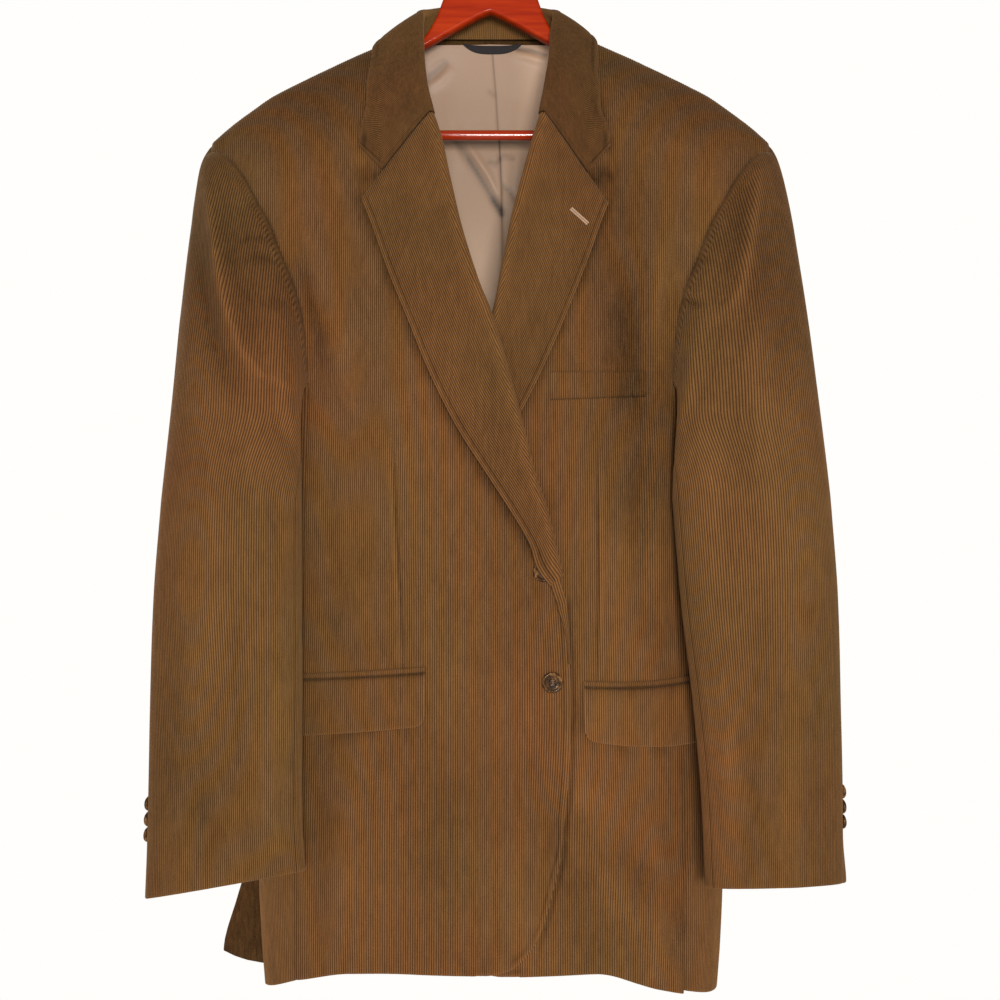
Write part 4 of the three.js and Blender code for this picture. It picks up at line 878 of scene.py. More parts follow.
def sleeve_skin(side, share, v, step=0.004):
    """A place on the sleeve with its largest folds, and the normal by differences."""
    share, v = np.broadcast_arrays(np.asarray(share, float), np.asarray(v, float))
    round_sleeve = sleeve_plain(side, share + step, v) - sleeve_plain(side, share - step, v)
    down = sleeve_plain(side, share, v + step) - sleeve_plain(side, share, v - step)
    normal = unit(np.cross(round_sleeve, down)) * side
    height = 0
    for f in SLEEVE_FOLDS:
        if f["side"] == side:
            height = height + line_height(share, v, [(f["u0"], f["v0"]), (f["u1"], f["v1"])],
                                          f["width"], f["height"], 0.2)
    return sleeve_plain(side, share, v) + normal * (height + 0 * v)[..., None], normal


def cap_row(side, share, z):
    """Row share of the cap where the line of this share reaches a height, by halving the interval."""
    low, high = np.zeros(share.shape), np.full(share.shape, CAP_SHARE)
    for _ in range(22):
        middle = (low + high) / 2
        above = sleeve_plain(side, share, middle)[..., 2] > z
        low, high = np.where(above, middle, low), np.where(above, high, middle)
    return (low + high) / 2


CAP_SLICES = 44
SLICE_PLACES = 50
WALE_LEVEL = -560             # the wales are evenly spaced round the sleeve at this height


def cap_slices(side, half):
    """Level cuts through one half of the cap, from the tube's top ring to the shoulder. For each cut: its
    height, and by distance from the outer line the share of each wale. It also gives where wales end."""
    to_under = np.linspace(0, 0.5 * half, 101)
    start_z = sleeve_plain(side, to_under, 0 * to_under)[:, 2]
    start_z = np.minimum.accumulate(start_z)
    heights = np.linspace(SLEEVE_TOP, CAP_Z - 6, CAP_SLICES)
    ends = np.interp(-heights, -start_z, np.abs(to_under)) * half
    shares = ends[:, None] * np.linspace(0, 1, SLICE_PLACES)
    z = heights[:, None] + 0 * shares
    cut = sleeve_plain(side, shares, cap_row(side, shares, z))
    steps = np.hypot(*np.moveaxis(np.diff(cut[..., :2], axis=1), -1, 0))
    gone = np.concatenate([np.zeros((CAP_SLICES, 1)), np.cumsum(steps, axis=1)], axis=1)
    return heights, shares, gone, ends


def even_rise(distance, reach, ends):
    """Where a wale ends on the armhole: the ends by reach as a line that rises evenly from nought, as the
    mean of seven neighbours, with its two ends kept."""
    even = np.linspace(0, reach[-1], 61)
    rise = np.interp(even, np.concatenate([[0], reach]), np.concatenate([[0], ends]))
    mean = np.convolve(np.pad(rise, 3, mode="edge"), np.full(7, 1 / 7), mode="valid")
    mean += lerp(rise[0] - mean[0], rise[-1] - mean[-1], even / reach[-1])
    return np.interp(distance, even, mean)


def wale_paths(side, u):
    """Share of the armhole along each wale: constant below the cap, and above it at a constant distance
    from the outer line until the wale meets the armhole."""
    half = np.where(u > 0.5, -1, np.where(u < 0, -1, 1))
    paths = np.zeros((len(u), CAP_SLICES))
    finish = np.zeros(len(u))
    for sign in (-1, 1):
        mine = half == sign
        if not mine.any():
            continue
        own = np.where(u[mine] > 0.5, u[mine] - 1, u[mine])
        heights, shares, gone, ends = cap_slices(side, sign)
        distance = np.interp(np.abs(own), np.abs(shares[0]), gone[0])
        full = np.abs(ends) > 0.4999
        last_full = np.nonzero(full)[0].max()
        scale = np.where(full, gone[:, -1] / gone[0, -1], gone[last_full, -1] / gone[0, -1])
        for k in range(CAP_SLICES):
            paths[mine, k] = np.interp(distance * scale[k], gone[k], shares[k] * sign) * sign
        reach = gone[:, -1] / scale
        order = np.argsort(reach)
        finish[mine] = even_rise(distance, reach[order], np.maximum.accumulate(ends[order] * sign)) * sign
        paths[mine] += np.where(u[mine] > 0.5, 1, 0)[:, None]
        finish[mine] += np.where(u[mine] > 0.5, 1, 0)
    return heights, paths, finish


SLEEVE_CREASES = {
    -1: rows(
        "places width height",
        (((-240, -150), (-234, -175), (-228, -205), (-218, -249), (-204, -287),
          (-186, -309), (-163, -320)), 3.8, 3.0),
        (((-249, -175), (-240, -225), (-229, -272), (-212, -312), (-190, -336)), 9, -3.4),
        (((-228, -160), (-215, -205), (-203, -250), (-184, -286)), 10, -2.4),
        (((-203, -163), (-182, -157)), 4, -1.3),
        (((-210, -198), (-198, -192), (-186, -192)), 4, -1.7),
        (((-204, -213), (-190, -209), (-178, -212)), 4.5, -1.8),
        (((-190, -250), (-176, -247), (-166, -250)), 6, -1.4),
        (((-250, -260), (-236, -330), (-224, -392)), 12, 2.0),
        (((-186, -352), (-176, -420), (-170, -500)), 12, -2.2),
        (((-210, -350), (-204, -410), (-206, -470)), 13, -1.8),
        (((-232, -420), (-226, -500), (-236, -590)), 15, 2.2),
        (((-200, -470), (-206, -560), (-196, -640)), 13, -2.2),
        (((-262, -480), (-258, -560), (-264, -650)), 12, -1.8),
        (((-172, -560), (-180, -630), (-176, -700)), 10, 1.8),
        (((-240, -620), (-226, -670), (-222, -715)), 12, -1.8)),
    1: rows(
        "places width height",
        (((230, -130), (224, -160), (215, -200), (206.5, -237), (197, -252), (184, -264)), 4.5, 2.6),
        (((216, -142), (206, -190), (196, -228)), 8, -2.4),
        (((240, -170), (230, -220), (216, -262), (200, -282)), 9, -2.4),
        (((153, -243), (163, -245), (176, -251)), 3, -2.2),
        (((154, -237), (164, -239), (176, -244)), 3.4, 1.4),
        (((180, -206), (172, -216), (164, -226)), 3.6, -2.0),
        (((254, -190), (246, -260), (234, -330)), 12, -2.0),
        (((186, -290), (200, -340), (204, -400), (198, -450)), 14, -2.4),
        (((226, -300), (232, -370), (226, -430)), 14, 1.8),
        (((236, -390), (248, -470), (242, -550)), 16, 2.0),
        (((176, -340), (180, -420), (184, -500)), 10, 1.8),
        (((214, -480), (222, -560), (216, -640)), 14, -2.2),
        (((262, -500), (268, -590), (262, -680)), 12, -1.8),
        (((188, -560), (196, -640), (192, -715)), 8, 2.2),
        (((203, -590), (212, -660), (206, -720)), 7, -1.6),
        (((246, -620), (240, -680), (248, -725)), 10, 1.8)),
}
ARM_TURN = 90                 # inside, the lining starts this far below the armhole
SLEEVE_TOP_CELLS = 64
SLEEVE_LOW_CELLS = 40
SLEEVE_LENGTH = 640
HEM_CLEAR = 9                 # the even rows start this far above the hem
SLEEVE_FOLD_SHADE = 0.7              # the folds' painted light and shade show this much on a sleeve
SLEEVE_TOP_SHADE = 0.2             # painted shade: its upper part is darker by this
TOP_REACH = 0.43              # share of a wale's length that holds the top cells
VENT_FLARE = {-1: 1.5, 1: 5.5}


def sleeve(side, part):
    """An upper or under cut: a share of the armhole for each wale, then the cloth along it."""
    seam_front, seam_back = SLEEVE_SEAMS
    start, end = (seam_back - 1, seam_front) if part == "upper" else (seam_front, seam_back)
    ring = np.linspace(start + SLEEVE_HALF_GAP, end - SLEEVE_HALF_GAP, 500)
    round_ring = tube_point(side, ring, np.full(ring.shape, float(WALE_LEVEL)))
    gone = np.concatenate([[0], np.cumsum(np.linalg.norm(np.diff(round_ring, axis=0), axis=1))])
    across = wale_columns(0, gone[-1])
    u = np.interp(across, gone, ring)
    heights, paths, finish = wale_paths(side, u)
    top = sleeve_plain(side, finish, 0 * finish)[:, 2]
    low = cuff_height(side, u)
    lower = np.linspace(HEM_CLEAR / SLEEVE_LENGTH, 1 - TOP_REACH, SLEEVE_LOW_CELLS - len(HEM_ROWS) + 1)
    upper = 1 - TOP_REACH * (1 - np.linspace(0, 1, SLEEVE_TOP_CELLS + 1)[1:]) ** 1.25
    z = lerp(low[:, None], top[:, None], np.concatenate([np.array(HEM_ROWS) / SLEEVE_LENGTH, lower, upper]))
    slot_at = (z - heights[0]) / (heights[1] - heights[0])
    k = np.clip(np.floor(slot_at).astype(int), 0, CAP_SLICES - 2)
    column = np.arange(len(u))[:, None]
    in_cap = lerp(paths[column, k], paths[column, k + 1], np.clip(slot_at - k, 0, 1))
    share = np.where(z > SLEEVE_TOP, in_cap, u[:, None])
    share[:, -1] = finish
    near_top = np.clip((top[:, None] - z) / 12, 0, 1)
    share = np.where(z > SLEEVE_TOP, lerp(finish[:, None], share, near_top), share)
    v_tube = CAP_SHARE + (1 - CAP_SHARE) * (z - SLEEVE_TOP) / (cuff_height(side, share) - SLEEVE_TOP)
    v = np.where(z > SLEEVE_TOP, cap_row(side, share, z), v_tube)
    v[:, -1] = 0
    place, normal = sleeve_skin(side, share, v)
    arm_gap = np.linalg.norm(place - place[:, -1:], axis=-1)
    relief, groove = wales(across[:, None] + 0 * z, z, ease(1, 7, arm_gap))
    facing = ease(-0.15, 0.45, -normal[..., 1])
    # Painted light on the folds' ridges and painted shade in their valleys, on the front and back of the
    # sleeve
    folds, tone = fold_tone(place[..., 0], z, SLEEVE_CREASES[side])
    tone = SLEEVE_FOLD_SHADE * tone
    back_folds, back_tone = fold_tone(place[..., 0] * -1 + side * 20, z + 18, SLEEVE_CREASES[-side])
    behind = ease(-0.1, 0.5, normal[..., 1])
    away = folds * facing + back_folds * behind
    tone = tone * facing + back_tone * behind
    seam_gap = np.minimum(across, across[-1] - across)[:, None] + 0 * z
    around = np.mod(finish, 1)
    drop = skin(side, loop_turn(around), loop_z(around), -0.5 * SEAM_DIP)[0] - place[:, -1]
    hem = z - low[:, None]
    relief = relief + 0.6 * sewn_edge(seam_gap) - 0.9 * (1 - ease(0, EDGE_ROUND, hem))
    # Painted shade along the seams and at the armhole, lighter along the hem's last 3 mm, and painted shade
    # over the upper part
    tone = tone - 0.16 * np.exp(-seam_gap / 1.2) - 0.3 * np.exp(-arm_gap / 1.6) + 0.12 * ease(3, 0, hem)
    tone = tone - SLEEVE_TOP_SHADE * ease(-360, -200, z)
    if part == "upper":
        flare = ease(start + 0.10, start + 0.01, share) * ease(low[:, None] + 48, low[:, None], z)
        away = away + VENT_FLARE[side] * flare
    place = place + normal * (away * ease(0, 8, arm_gap))[..., None]
    place = place + drop[:, None] * np.exp(-arm_gap / 7)[..., None]
    lined = (hem > HEM_TURN) & (arm_gap > ARM_TURN)
    return shell(f"sleeve_{part}_{FRONTS[side]['name']}", place, normal, relief, groove, tone, lined=lined)


for side in (-1, 1):
    sleeve(side, "upper")
    sleeve(side, "under")

# The lapels
# Each lapel is the front's own facing turned back on a soft roll. Its wales run along its outer edge,
# and end at the gorge seam above and at the notch.
ROLL_RADIUS = 4
ROLL_LENGTH = math.pi * ROLL_RADIUS
LAPELS = {
    -1: rows("roll x z rise", (51, 106.5, -162, 3), (43, 98.5, -181, 3), (32, 83, -222, 3), (18, 64, -268, 3),
             (4, 50, -303, 3), (-10, 28, -349, 3.2), (-24, 1, -393, 3.6), (-36, -21, -428, 4.8),
             (-46, -38, -456, 6), (-55, -51, -482, 6.4)),
    1: rows("roll x z rise", (46, 98, -166, 3), (39, 91, -184, 3), (32, 81, -212, 3), (20, 61, -262, 3),
            (8, 40, -310, 3), (-6, 17, -356, 3), (-20, -9, -405, 3),
            (-32, -28, -443, 3), (-42, -40, -474, 3)),
}
LAPEL_STAND = 4.5             # the edge stands this much further off the chest halfway down
LAPEL_COVER = 6.2             # its tail bows out a little over the upper button
COVER_Z = -468                # it does so round this height
COVER_REACH = 16
# Painted shade over the whole lapel
LAPEL_SHADE = 0.12
LAPEL_CELLS = 64
LAPEL_STATIONS = 400


def lapel(side):
    """A lapel in wales beside its outer edge, which end where the lapel is no longer as deep."""
    stations = [dict(row, station=k) for k, row in enumerate(LAPELS[side])]
    last = len(stations) - 1
    along = np.linspace(0, last, LAPEL_STATIONS)
    roll, edge_x, edge_z, rise = (table(stations, "station", key)(along)
        for key in ("roll", "x", "z", "rise"))
    roll_z = table(FRONTS[side]["top"], "x", "z")
    width = np.minimum.accumulate(np.hypot(edge_x - roll, edge_z - roll_z(roll)))
    gone = np.concatenate([[0], np.cumsum(np.hypot(np.diff(edge_x), np.diff(edge_z)))])
    deep = wale_columns(0, width[0] + ROLL_LENGTH)
    reach = np.interp(-deep, -(width + ROLL_LENGTH), gone)
    t = np.linspace(0, 1, LAPEL_CELLS + 1)
    t = lerp(t, t * t * (3 - 2 * t), 0.35)
    distance = reach[:, None] * t
    deep = deep[:, None] + 0 * distance

    def at(values):
        return np.interp(distance, gone, values)

    x0, x1, z1, lift, wide = at(roll), at(edge_x), at(edge_z), at(rise), at(width)
    z0 = roll_z(x0)
    share = np.clip(1 - deep / wide, 0, 1)
    middle = np.sin(np.pi * np.clip(distance / gone[-1], 0, 1))
    out = lerp(2 * ROLL_RADIUS - CLOTH, lift + LAPEL_STAND * middle * ease(0.2, 1, share),
               ease(0, 0.75, share))
    place, normal = front_skin(side, lerp(x0, x1, share), lerp(z0, z1, share), out)
    roll_place, roll_normal = front_skin(side, x0, z0)
    before = front_skin(side, x0 + 2, roll_z(x0 + 2))[0]
    after = front_skin(side, x0 - 2, roll_z(x0 - 2))[0]
    across = -side * unit(np.cross(unit(before - after), roll_normal))
    angle = (math.pi - np.clip(deep - wide, 0, ROLL_LENGTH) / ROLL_RADIUS)[..., None]
    centre = roll_place + roll_normal * (ROLL_RADIUS - CLOTH) + across * LAY
    curl_normal = across * np.sin(angle) - roll_normal * np.cos(angle)
    rolled = (deep > wide)[..., None]
    place = np.where(rolled, centre + curl_normal * ROLL_RADIUS, place)
    normal = np.where(rolled, curl_normal, normal)
    relief, groove = wales(deep, distance)
    top_gap = np.where(deep < wide, distance, 99)
    place = place + normal * (1.4 * np.sin(np.pi * share) * middle)[..., None]
    relief = relief + turned_edge(deep) + turned_edge(top_gap)
    if side < 0:
        place[..., 0] -= LAPEL_COVER * np.exp(-((place[..., 2] - COVER_Z) / COVER_REACH) ** 2) * share
    # Painted highlight along the roll, painted light and shade along the outer and top edges, and painted
    # shade over the whole lapel
    tone = 0.16 * np.exp(-((deep - wide) / 6) ** 2) + edge_tone(deep) + edge_tone(top_gap) * ease(20, 8, deep)
    tone = tone - LAPEL_SHADE
    name = f"lapel_{FRONTS[side]['name']}"
    return shell(name, place, normal, relief, groove, tone, coarse=(3, 4), finishes=("corduroy", "corduroy"))


for side in (-1, 1):
    lapel(side)

# Below the roll the wearer's right front edge stays turned a little, and tapers off as a narrow strip
LAPEL_END = rows("z wide high", (-466, 8.4, 5.6), (-475, 8.5, 5.4), (-486, 8.6, 5), (-500, 8, 4.3),
                 (-511, 5.4, 3.6),
                 (-521, 3.6, 3), (-530, 2.6, 2.6), (-548, 2, 2.2))
LAPEL_END_THICK = 1.6
LAPEL_END_CELLS = 48


def lapel_end():
    """A strip along the front's edge, whose width and height above the cloth go by its table."""
    cut = FRONTS[-1]
    z = np.linspace(LAPEL_END[-1]["z"], LAPEL_END[0]["z"], LAPEL_END_CELLS + 1)
    top, bottom = table(cut["top"], "x", "z"), table(cut["bottom"], "x", "z")(cut["first"])
    fold_x = np.linspace(cut["first"], -30, 200)
    edge = np.clip((z - bottom) / (top(cut["first"]) - bottom), 0, 1)
    below = cut["first"] - cut["bulge"] * np.sin(np.pi * edge)
    start = np.where(z > top(cut["first"]), np.interp(z, top(fold_x), fold_x), below) - LAY
    share = np.linspace(0, 1, 13)[:, None]
    wide, high = table(LAPEL_END, "z", "wide")(z), table(LAPEL_END, "z", "high")(z)
    x = start + share * wide
    place, normal = front_skin(-1, x, z + 0 * x, high * (1 - 0.25 * share ** 2))
    relief, groove = wales(share * wide, z + 0 * x)
    relief = relief - 0.9 * (1 - ease(0, EDGE_ROUND, share * wide)) - 0.6 * ease(0.8, 1, share)
    # Painted highlight on the strip's turned edge, fading across it
    tone = 0.12 * (1 - share) + 0 * relief
    return shell("lapel_end", place, normal, relief, groove, tone, thickness=LAPEL_END_THICK, coarse=(3, 4),
                 finishes=("corduroy", "corduroy"), node=False)


lapel_end()

# The collar
# One folded cut of corduroy: a stand that rises from the neck seam, a soft fold, and a fall that lies on
# the shoulders and ends in the notches. Its wales run across it.
COLLAR = {
    -1: rows("turn z fx fy fz edge_turn edge_z dip wrap",
             (13, -89.6, 50.2, -45, -89.4, 26, -117, 31, 0), (19.4, -60.5, 57, -37, -60.5, 27, -92, 8, 0),
             (31.1, -33, 60, -24, -34, 33.3, -60, 0, 0.4), (51.9, -13, 61.5, -8, -6, 51.6, -30, 0, 0.8),
             (90, -3, 61.5, 3, 11, 85, -15.5, 0, 1), (115.3, -1.9, 54.5, 15.5, 18, 113.6, -15, 0, 1),
             (140, -0.9, 38, 26.5, 24.5, 144, -16, 0, 1), (161.8, -0.2, 19, 32, 27.5, 163.5, -16, 0, 1),
             (180, 0, 0, 34, 28, 180, -16, 0, 1)),
    1: rows("turn z fx fy fz edge_turn edge_z dip wrap",
            (11.4, -89.8, 44.6, -45.5, -89.5, 23.8, -117, 33.5, 0), (18.4, -60, 50, -37, -60, 24, -92, 8, 0),
            (30.3, -33, 54, -24, -34, 29, -60, 0, 0.4), (51.9, -13, 56, -8, -6, 47, -28, 0, 0.8),
            (90, -3, 58.5, 3, 11, 84, -12, 0, 1), (115.3, -1.9, 53, 15.5, 18, 114, -13, 0, 1),
            (140, -0.9, 38, 26.5, 24.5, 144, -15, 0, 1), (161.8, -0.2, 19, 32, 27.5, 163.5, -16, 0, 1),
            (180, 0, 0, 34, 28, 180, -16, 0, 1)),
}
NOTCH_SHARE = 0.66
FALL_RISE = 3.8
STAND_POINTS = 6
CURL_POINTS = 10
NOTCH_NUMBER = STAND_POINTS + CURL_POINTS + 8
COLLAR_NAP = 0.8              # the wales show a little less on the collar
# Painted shade over the collar's fall
COLLAR_FALL_SHADE = 0.34
FALL_SHARES = (0.06, 0.13, 0.2, 0.28, 0.36, 0.44, 0.52, 0.59, NOTCH_SHARE,
               0.73, 0.8, 0.87, 0.93, 0.97, 0.985, 1)


def collar_lines(side, station):
    """The collar's cross line at each station: up the stand, round the fold and down the fall."""
    numbered = [dict(row, station=k) for k, row in enumerate(COLLAR[side])]
    turn, z, fx, fy, fz, edge_turn, edge_z, dip, wrap = (
        table(numbered, "station", key)(station) for key in
        ("turn", "z", "fx", "fy", "fz", "edge_turn", "edge_z", "dip", "wrap"))
    seam, seam_normal = skin(side, turn, z, -CLOTH)
    fold = np.stack([side * fx, fy, fz], -1)
    level = unit(np.cross(seam_normal, np.cross([-side, 0, 0], seam_normal)))
    up = unit(lerp(level, unit(fold - seam), wrap[:, None]))
    out = unit(seam_normal - up * np.sum(seam_normal * up, axis=-1, keepdims=True))
    start = seam + up * lerp(1.2, 2.1, wrap)[:, None]
    end = fold - out * ROLL_RADIUS
    places = [lerp(start, end, k / STAND_POINTS) for k in range(STAND_POINTS)]
    normals = [-out] * STAND_POINTS
    for angle in np.linspace(0, math.pi, CURL_POINTS):
        n = up * math.sin(angle) - out * math.cos(angle)
        places.append(fold + n * ROLL_RADIUS)
        normals.append(n)
    roll = places[-1]
    edge_x = half_width(edge_z) * np.sin(np.radians(edge_turn))
    edge, edge_normal = skin(side, edge_turn, edge_z, FALL_RISE)
    for r in FALL_SHARES:
        drop = dip * (r / NOTCH_SHARE if r < NOTCH_SHARE else (1 - r) / (1 - NOTCH_SHARE))
        rise = lerp(2 * ROLL_RADIUS - CLOTH, FALL_RISE, ease(0, 0.75, r))
        height = np.minimum(lerp(fz, edge_z, r) - drop, 4)
        flat, flat_normal = front_skin(side, lerp(fx, edge_x, r), height, rise)
        free = lerp(roll, edge, r) + out * (6 * r * (1 - r))
        free_normal = unit(lerp(out, edge_normal, r))
        w = wrap[:, None]
        places.append(np.where(w < 1, lerp(flat, free, w), free))
        normals.append(unit(np.where(w < 1, lerp(flat_normal, free_normal, w), free_normal)))
    return np.stack(places, 1), np.stack(normals, 1)


def collar():
    """The whole collar, with one of its cross lines for each of the wales' columns."""
    last = len(COLLAR[1]) - 1
    dense = np.linspace(0, 2 * last, 801)

    def lines(q):
        right = collar_lines(-1, np.clip(q, 0, last))
        left = collar_lines(1, np.clip(2 * last - q, 0, last))
        mine = (q <= last)[:, None, None]
        return np.where(mine, right[0], left[0]), np.where(mine, right[1], left[1])

    middle = STAND_POINTS + CURL_POINTS + 4
    trial = lines(dense)[0][:, middle]
    gone = np.concatenate([[0], np.cumsum(np.linalg.norm(np.diff(trial, axis=0), axis=1))])
    along = wale_columns(0, gone[-1])
    place, normal = lines(np.interp(along, gone, dense))
    number = np.arange(place.shape[1])
    relief, groove = wales(along[:, None] + 0 * number, 3 * number + 0 * along[:, None], COLLAR_NAP)
    outward = np.linalg.norm(place - place[:, -1:], axis=-1)
    front_end = np.minimum(along, along[-1] - along)[:, None] + 0 * relief
    on_fall = number >= STAND_POINTS + CURL_POINTS - 1
    relief = relief + turned_edge(outward) + np.where(on_fall, turned_edge(front_end), 0)
    # Painted highlight along the fold and painted light and shade along the edges; painted shade at the ends
    # of the stand and upper fall
    tone = 0.1 * np.exp(-((number - STAND_POINTS - CURL_POINTS / 2) / 4.0) ** 2)
    tone = tone + edge_tone(outward) + 0 * relief
    tone = tone + np.where(number > NOTCH_NUMBER, edge_tone(front_end), -0.3 * np.exp(-front_end / 1.5))
    # The stand is painted lighter and the fall is painted in shade
    tone = tone - np.where(number < STAND_POINTS + CURL_POINTS / 2, -0.2, COLLAR_FALL_SHADE)
    return shell("collar", place, normal, relief, groove, tone, coarse=(3, 1),
                 finishes=("corduroy", "corduroy"))


collar()

# The back lining and its label
# Beige satin behind the open neck, with an ease pleat down its middle, slack folds and a pressed crease.
# A dark woven strip with nothing on it is sewn under the collar.
LINING = 1
LINING_GAP = 0.8
LINING_TOP = rows("x z", (0, -3), (58, -5), (70, -30), (90, -52), (115, -66), (140, -80), (165, -98))
LINING_LOW = -820
LINING_HALF = 165
LINING_CREASES = rows(
    "places width height",
    (((2, -6), (6, -70), (9.5, -130), (10.5, -181), (11, -330), (11, -560), (11, -800)), 2.0, 0.9),
    (((-33, -86), (-22, -100), (-9, -120), (4, -142)), 3.5, -1.6),
    (((-29, -80), (-17, -97), (-3, -117), (8, -138)), 3, 1.4),
    (((-60, -34), (-50, -27), (-40, -18)), 4, -1.2),
    (((-58, -42), (-46, -34), (-36, -24)), 4, 1.0),
    (((20, -5), (36, -8), (50, -12.5)), 2.6, -1.4),
    (((20, -11), (36, -14.5), (50, -19)), 4, 1.2),
    (((12, -128), (18, -133), (23, -142)), 2.5, -1.0),
    (((26, -60), (24, -100), (18, -150)), 6, 0.9),
    (((-40, -50), (-34, -80), (-30, -110)), 7, 0.8),
    (((34, -100), (28, -150), (22, -210)), 4, -0.6),
)
# Painted shade along the pleat, the crease and the folds
LINING_SHADES = rows(
    "places width shade",
    (((1.2, -6), (4.5, -45), (6.6, -80)), 0.8, -0.5),
    (((7.5, -84), (9.5, -130), (10.5, -181), (11, -330), (11, -560), (11, -800)), 0.9, -0.75),
    (((-33, -86), (-22, -100), (-9, -120), (4, -142), (9.5, -153)), 3.4, -0.36),
    (((-20, -104), (-9, -121), (6, -146), (9.5, -153)), 2.4, -0.16),
    (((3, -140), (9, -150)), 4, -0.4),
    (((-60, -34), (-50, -27), (-41, -19)), 3.2, -0.3),
    (((20, -6), (36, -8.5), (50, -12.5)), 2.0, -0.6),
    (((-1, -106), (4, -108), (8, -104)), 2.4, -0.3),
    (((12, -101), (20, -103)), 2.4, -0.3),
    (((12, -128), (17, -132), (22, -140)), 1.8, -0.4),
    (((-1, -44), (3, -47)), 2.4, -0.2),
    (((46, -30), (42, -60), (38, -80)), 4, -0.16),
)
LINING_PAINTED_LIGHT = 0.7            # painted light: the satin is lighter low down and at the wearer's left
lining_top = table(LINING_TOP, "x", "z")


def lining():
    """The satin behind the neck, with its pleat and folds, and painted light and shade."""
    wide = np.linspace(-1, 1, 301)[:, None]
    x = LINING_HALF * (0.35 * wide + 0.65 * wide ** 3)
    t = np.linspace(0, 1, 181)[None]
    z = lerp(LINING_LOW, lining_top(np.abs(x)), 1 - (1 - t) ** 2)
    right = back_skin(-1, np.abs(x), z, -CLOTH - LINING_GAP)
    left = back_skin(1, np.abs(x), z, -CLOTH - LINING_GAP)
    mine = (x < 0)[..., None]
    place, normal = np.where(mine, right[0], left[0]), np.where(mine, right[1], left[1])
    folds, tone = fold_tone(x + 0 * z, z, LINING_CREASES)
    tone = 0.4 * tone + shades(x + 0 * z, z, LINING_SHADES)
    tone = tone + LINING_PAINTED_LIGHT * (ease(-90, -300, z) + ease(15, 70, x))
    inward = place - normal * (LINING + np.clip(folds + 0.4 * wander(x / 19, z / 30), -0.2, 3))[..., None]
    return shell("back_lining", inward, -normal, 0 * z, 0 * z, tone, thickness=LINING * 0.8, coarse=(4, 4),
                 finishes=("lining", "lining"))


lining()


def label_finish():
    """Dark woven strip with fine ribs across it."""
    woven = Finish("blank_label", Roughness=0.75, Specular_IOR_Level=0.06)
    thread = woven.noise((5000, 5000, 900), detail=1)
    value = 1 + thread * 0.3
    colour = woven.mix(0.5, (0.022, 0.018, 0.02), (0.02, 0.018, 0.018))
    woven.set(woven.shader, {"Base Color": woven.grade(colour, value)})
    woven.set(woven.shader, {"Normal": woven.bump(thread, 0.00005)})
    return woven.material


FINISHES["blank_label"] = label_finish()
NECK_LABEL = dict(x0=-25, x1=28, low=-12.5, high=-4.2, thick=0.8, gap=0.6)


def label():
    """The blank strip, full height in its middle and narrow at its ends."""
    x = np.linspace(NECK_LABEL["x0"], NECK_LABEL["x1"], 49)[:, None]
    middle = 1 - np.abs(2 * (x - NECK_LABEL["x0"]) / (NECK_LABEL["x1"] - NECK_LABEL["x0"]) - 1) ** 3
    high = NECK_LABEL["high"] + 1.6 - 1.8 * middle
    tall = 1.2 + (NECK_LABEL["high"] - NECK_LABEL["low"] - 2.4) * middle
    z = high - tall * (1 - np.linspace(0, 1, 13)[None])
    off = -CLOTH - LINING_GAP - LINING - NECK_LABEL["gap"] - NECK_LABEL["thick"]
    right, left = back_skin(-1, np.abs(x), z, off), back_skin(1, np.abs(x), z, off)
    mine = (x < 0)[..., None]
    place, normal = np.where(mine, right[0], left[0]), np.where(mine, right[1], left[1])
    edge = np.minimum(np.minimum(x - x[0], x[-1] - x), np.minimum(z - z[:, :1], z[:, -1:] - z))
    relief = -0.3 * (1 - ease(0, 0.8, edge)) + 0.12 * wander(x / 5, z / 3)
    return shell("neck_label", place, -normal, relief, 0 * relief, 0 * relief, thickness=0.5, coarse=(4, 4),
                 finishes=("blank_label", "blank_label"))


label()

# The pockets
# A flap pocket on each hip: the flap hangs from under a narrow turned lip. On the wearer's left chest a
# welt pocket has only its folded strip.
POCKETS = {-1: dict(x0=53, x1=178, top_in=-550, top_out=-562, low_in=-599, low_out=-615, sag=0),
           1: dict(x0=78, x1=180, top_in=-563, top_out=-562, low_in=-612, low_out=-620, sag=4)}
LIP = dict(high=5, thick=1.4)
POCKET_RAISE = 0.7
FLAP_CORNER = 9
WELT = dict(x0=49.5, x1=129.5, top_in=-306.5, top_out=-304.5, low_in=-329.5, low_out=-325.5, thick=1.8)


def strip(side, x, low, high, out, cells):
    """A strip of cloth that lies on a front, between a low and a high edge given for each column."""
    share = np.linspace(0, 1, cells + 1)
    share = lerp(share, share * share * (3 - 2 * share), 0.6)[None]
    z = lerp(low[:, None], high[:, None], share)
    across = x[:, None] + 0 * z
    place, normal = front_skin(side, across, z, out)
    place = place + normal * fold_tone(side * across, z, FRONT_CREASES)[0][..., None]
    relief, groove = wales(across, z)
    edge = np.minimum(across - x[0], np.minimum(z - low[:, None], high[:, None] - z))
    return place, normal, relief - 0.8 * (1 - ease(0, 0.9, edge)), groove, across, z


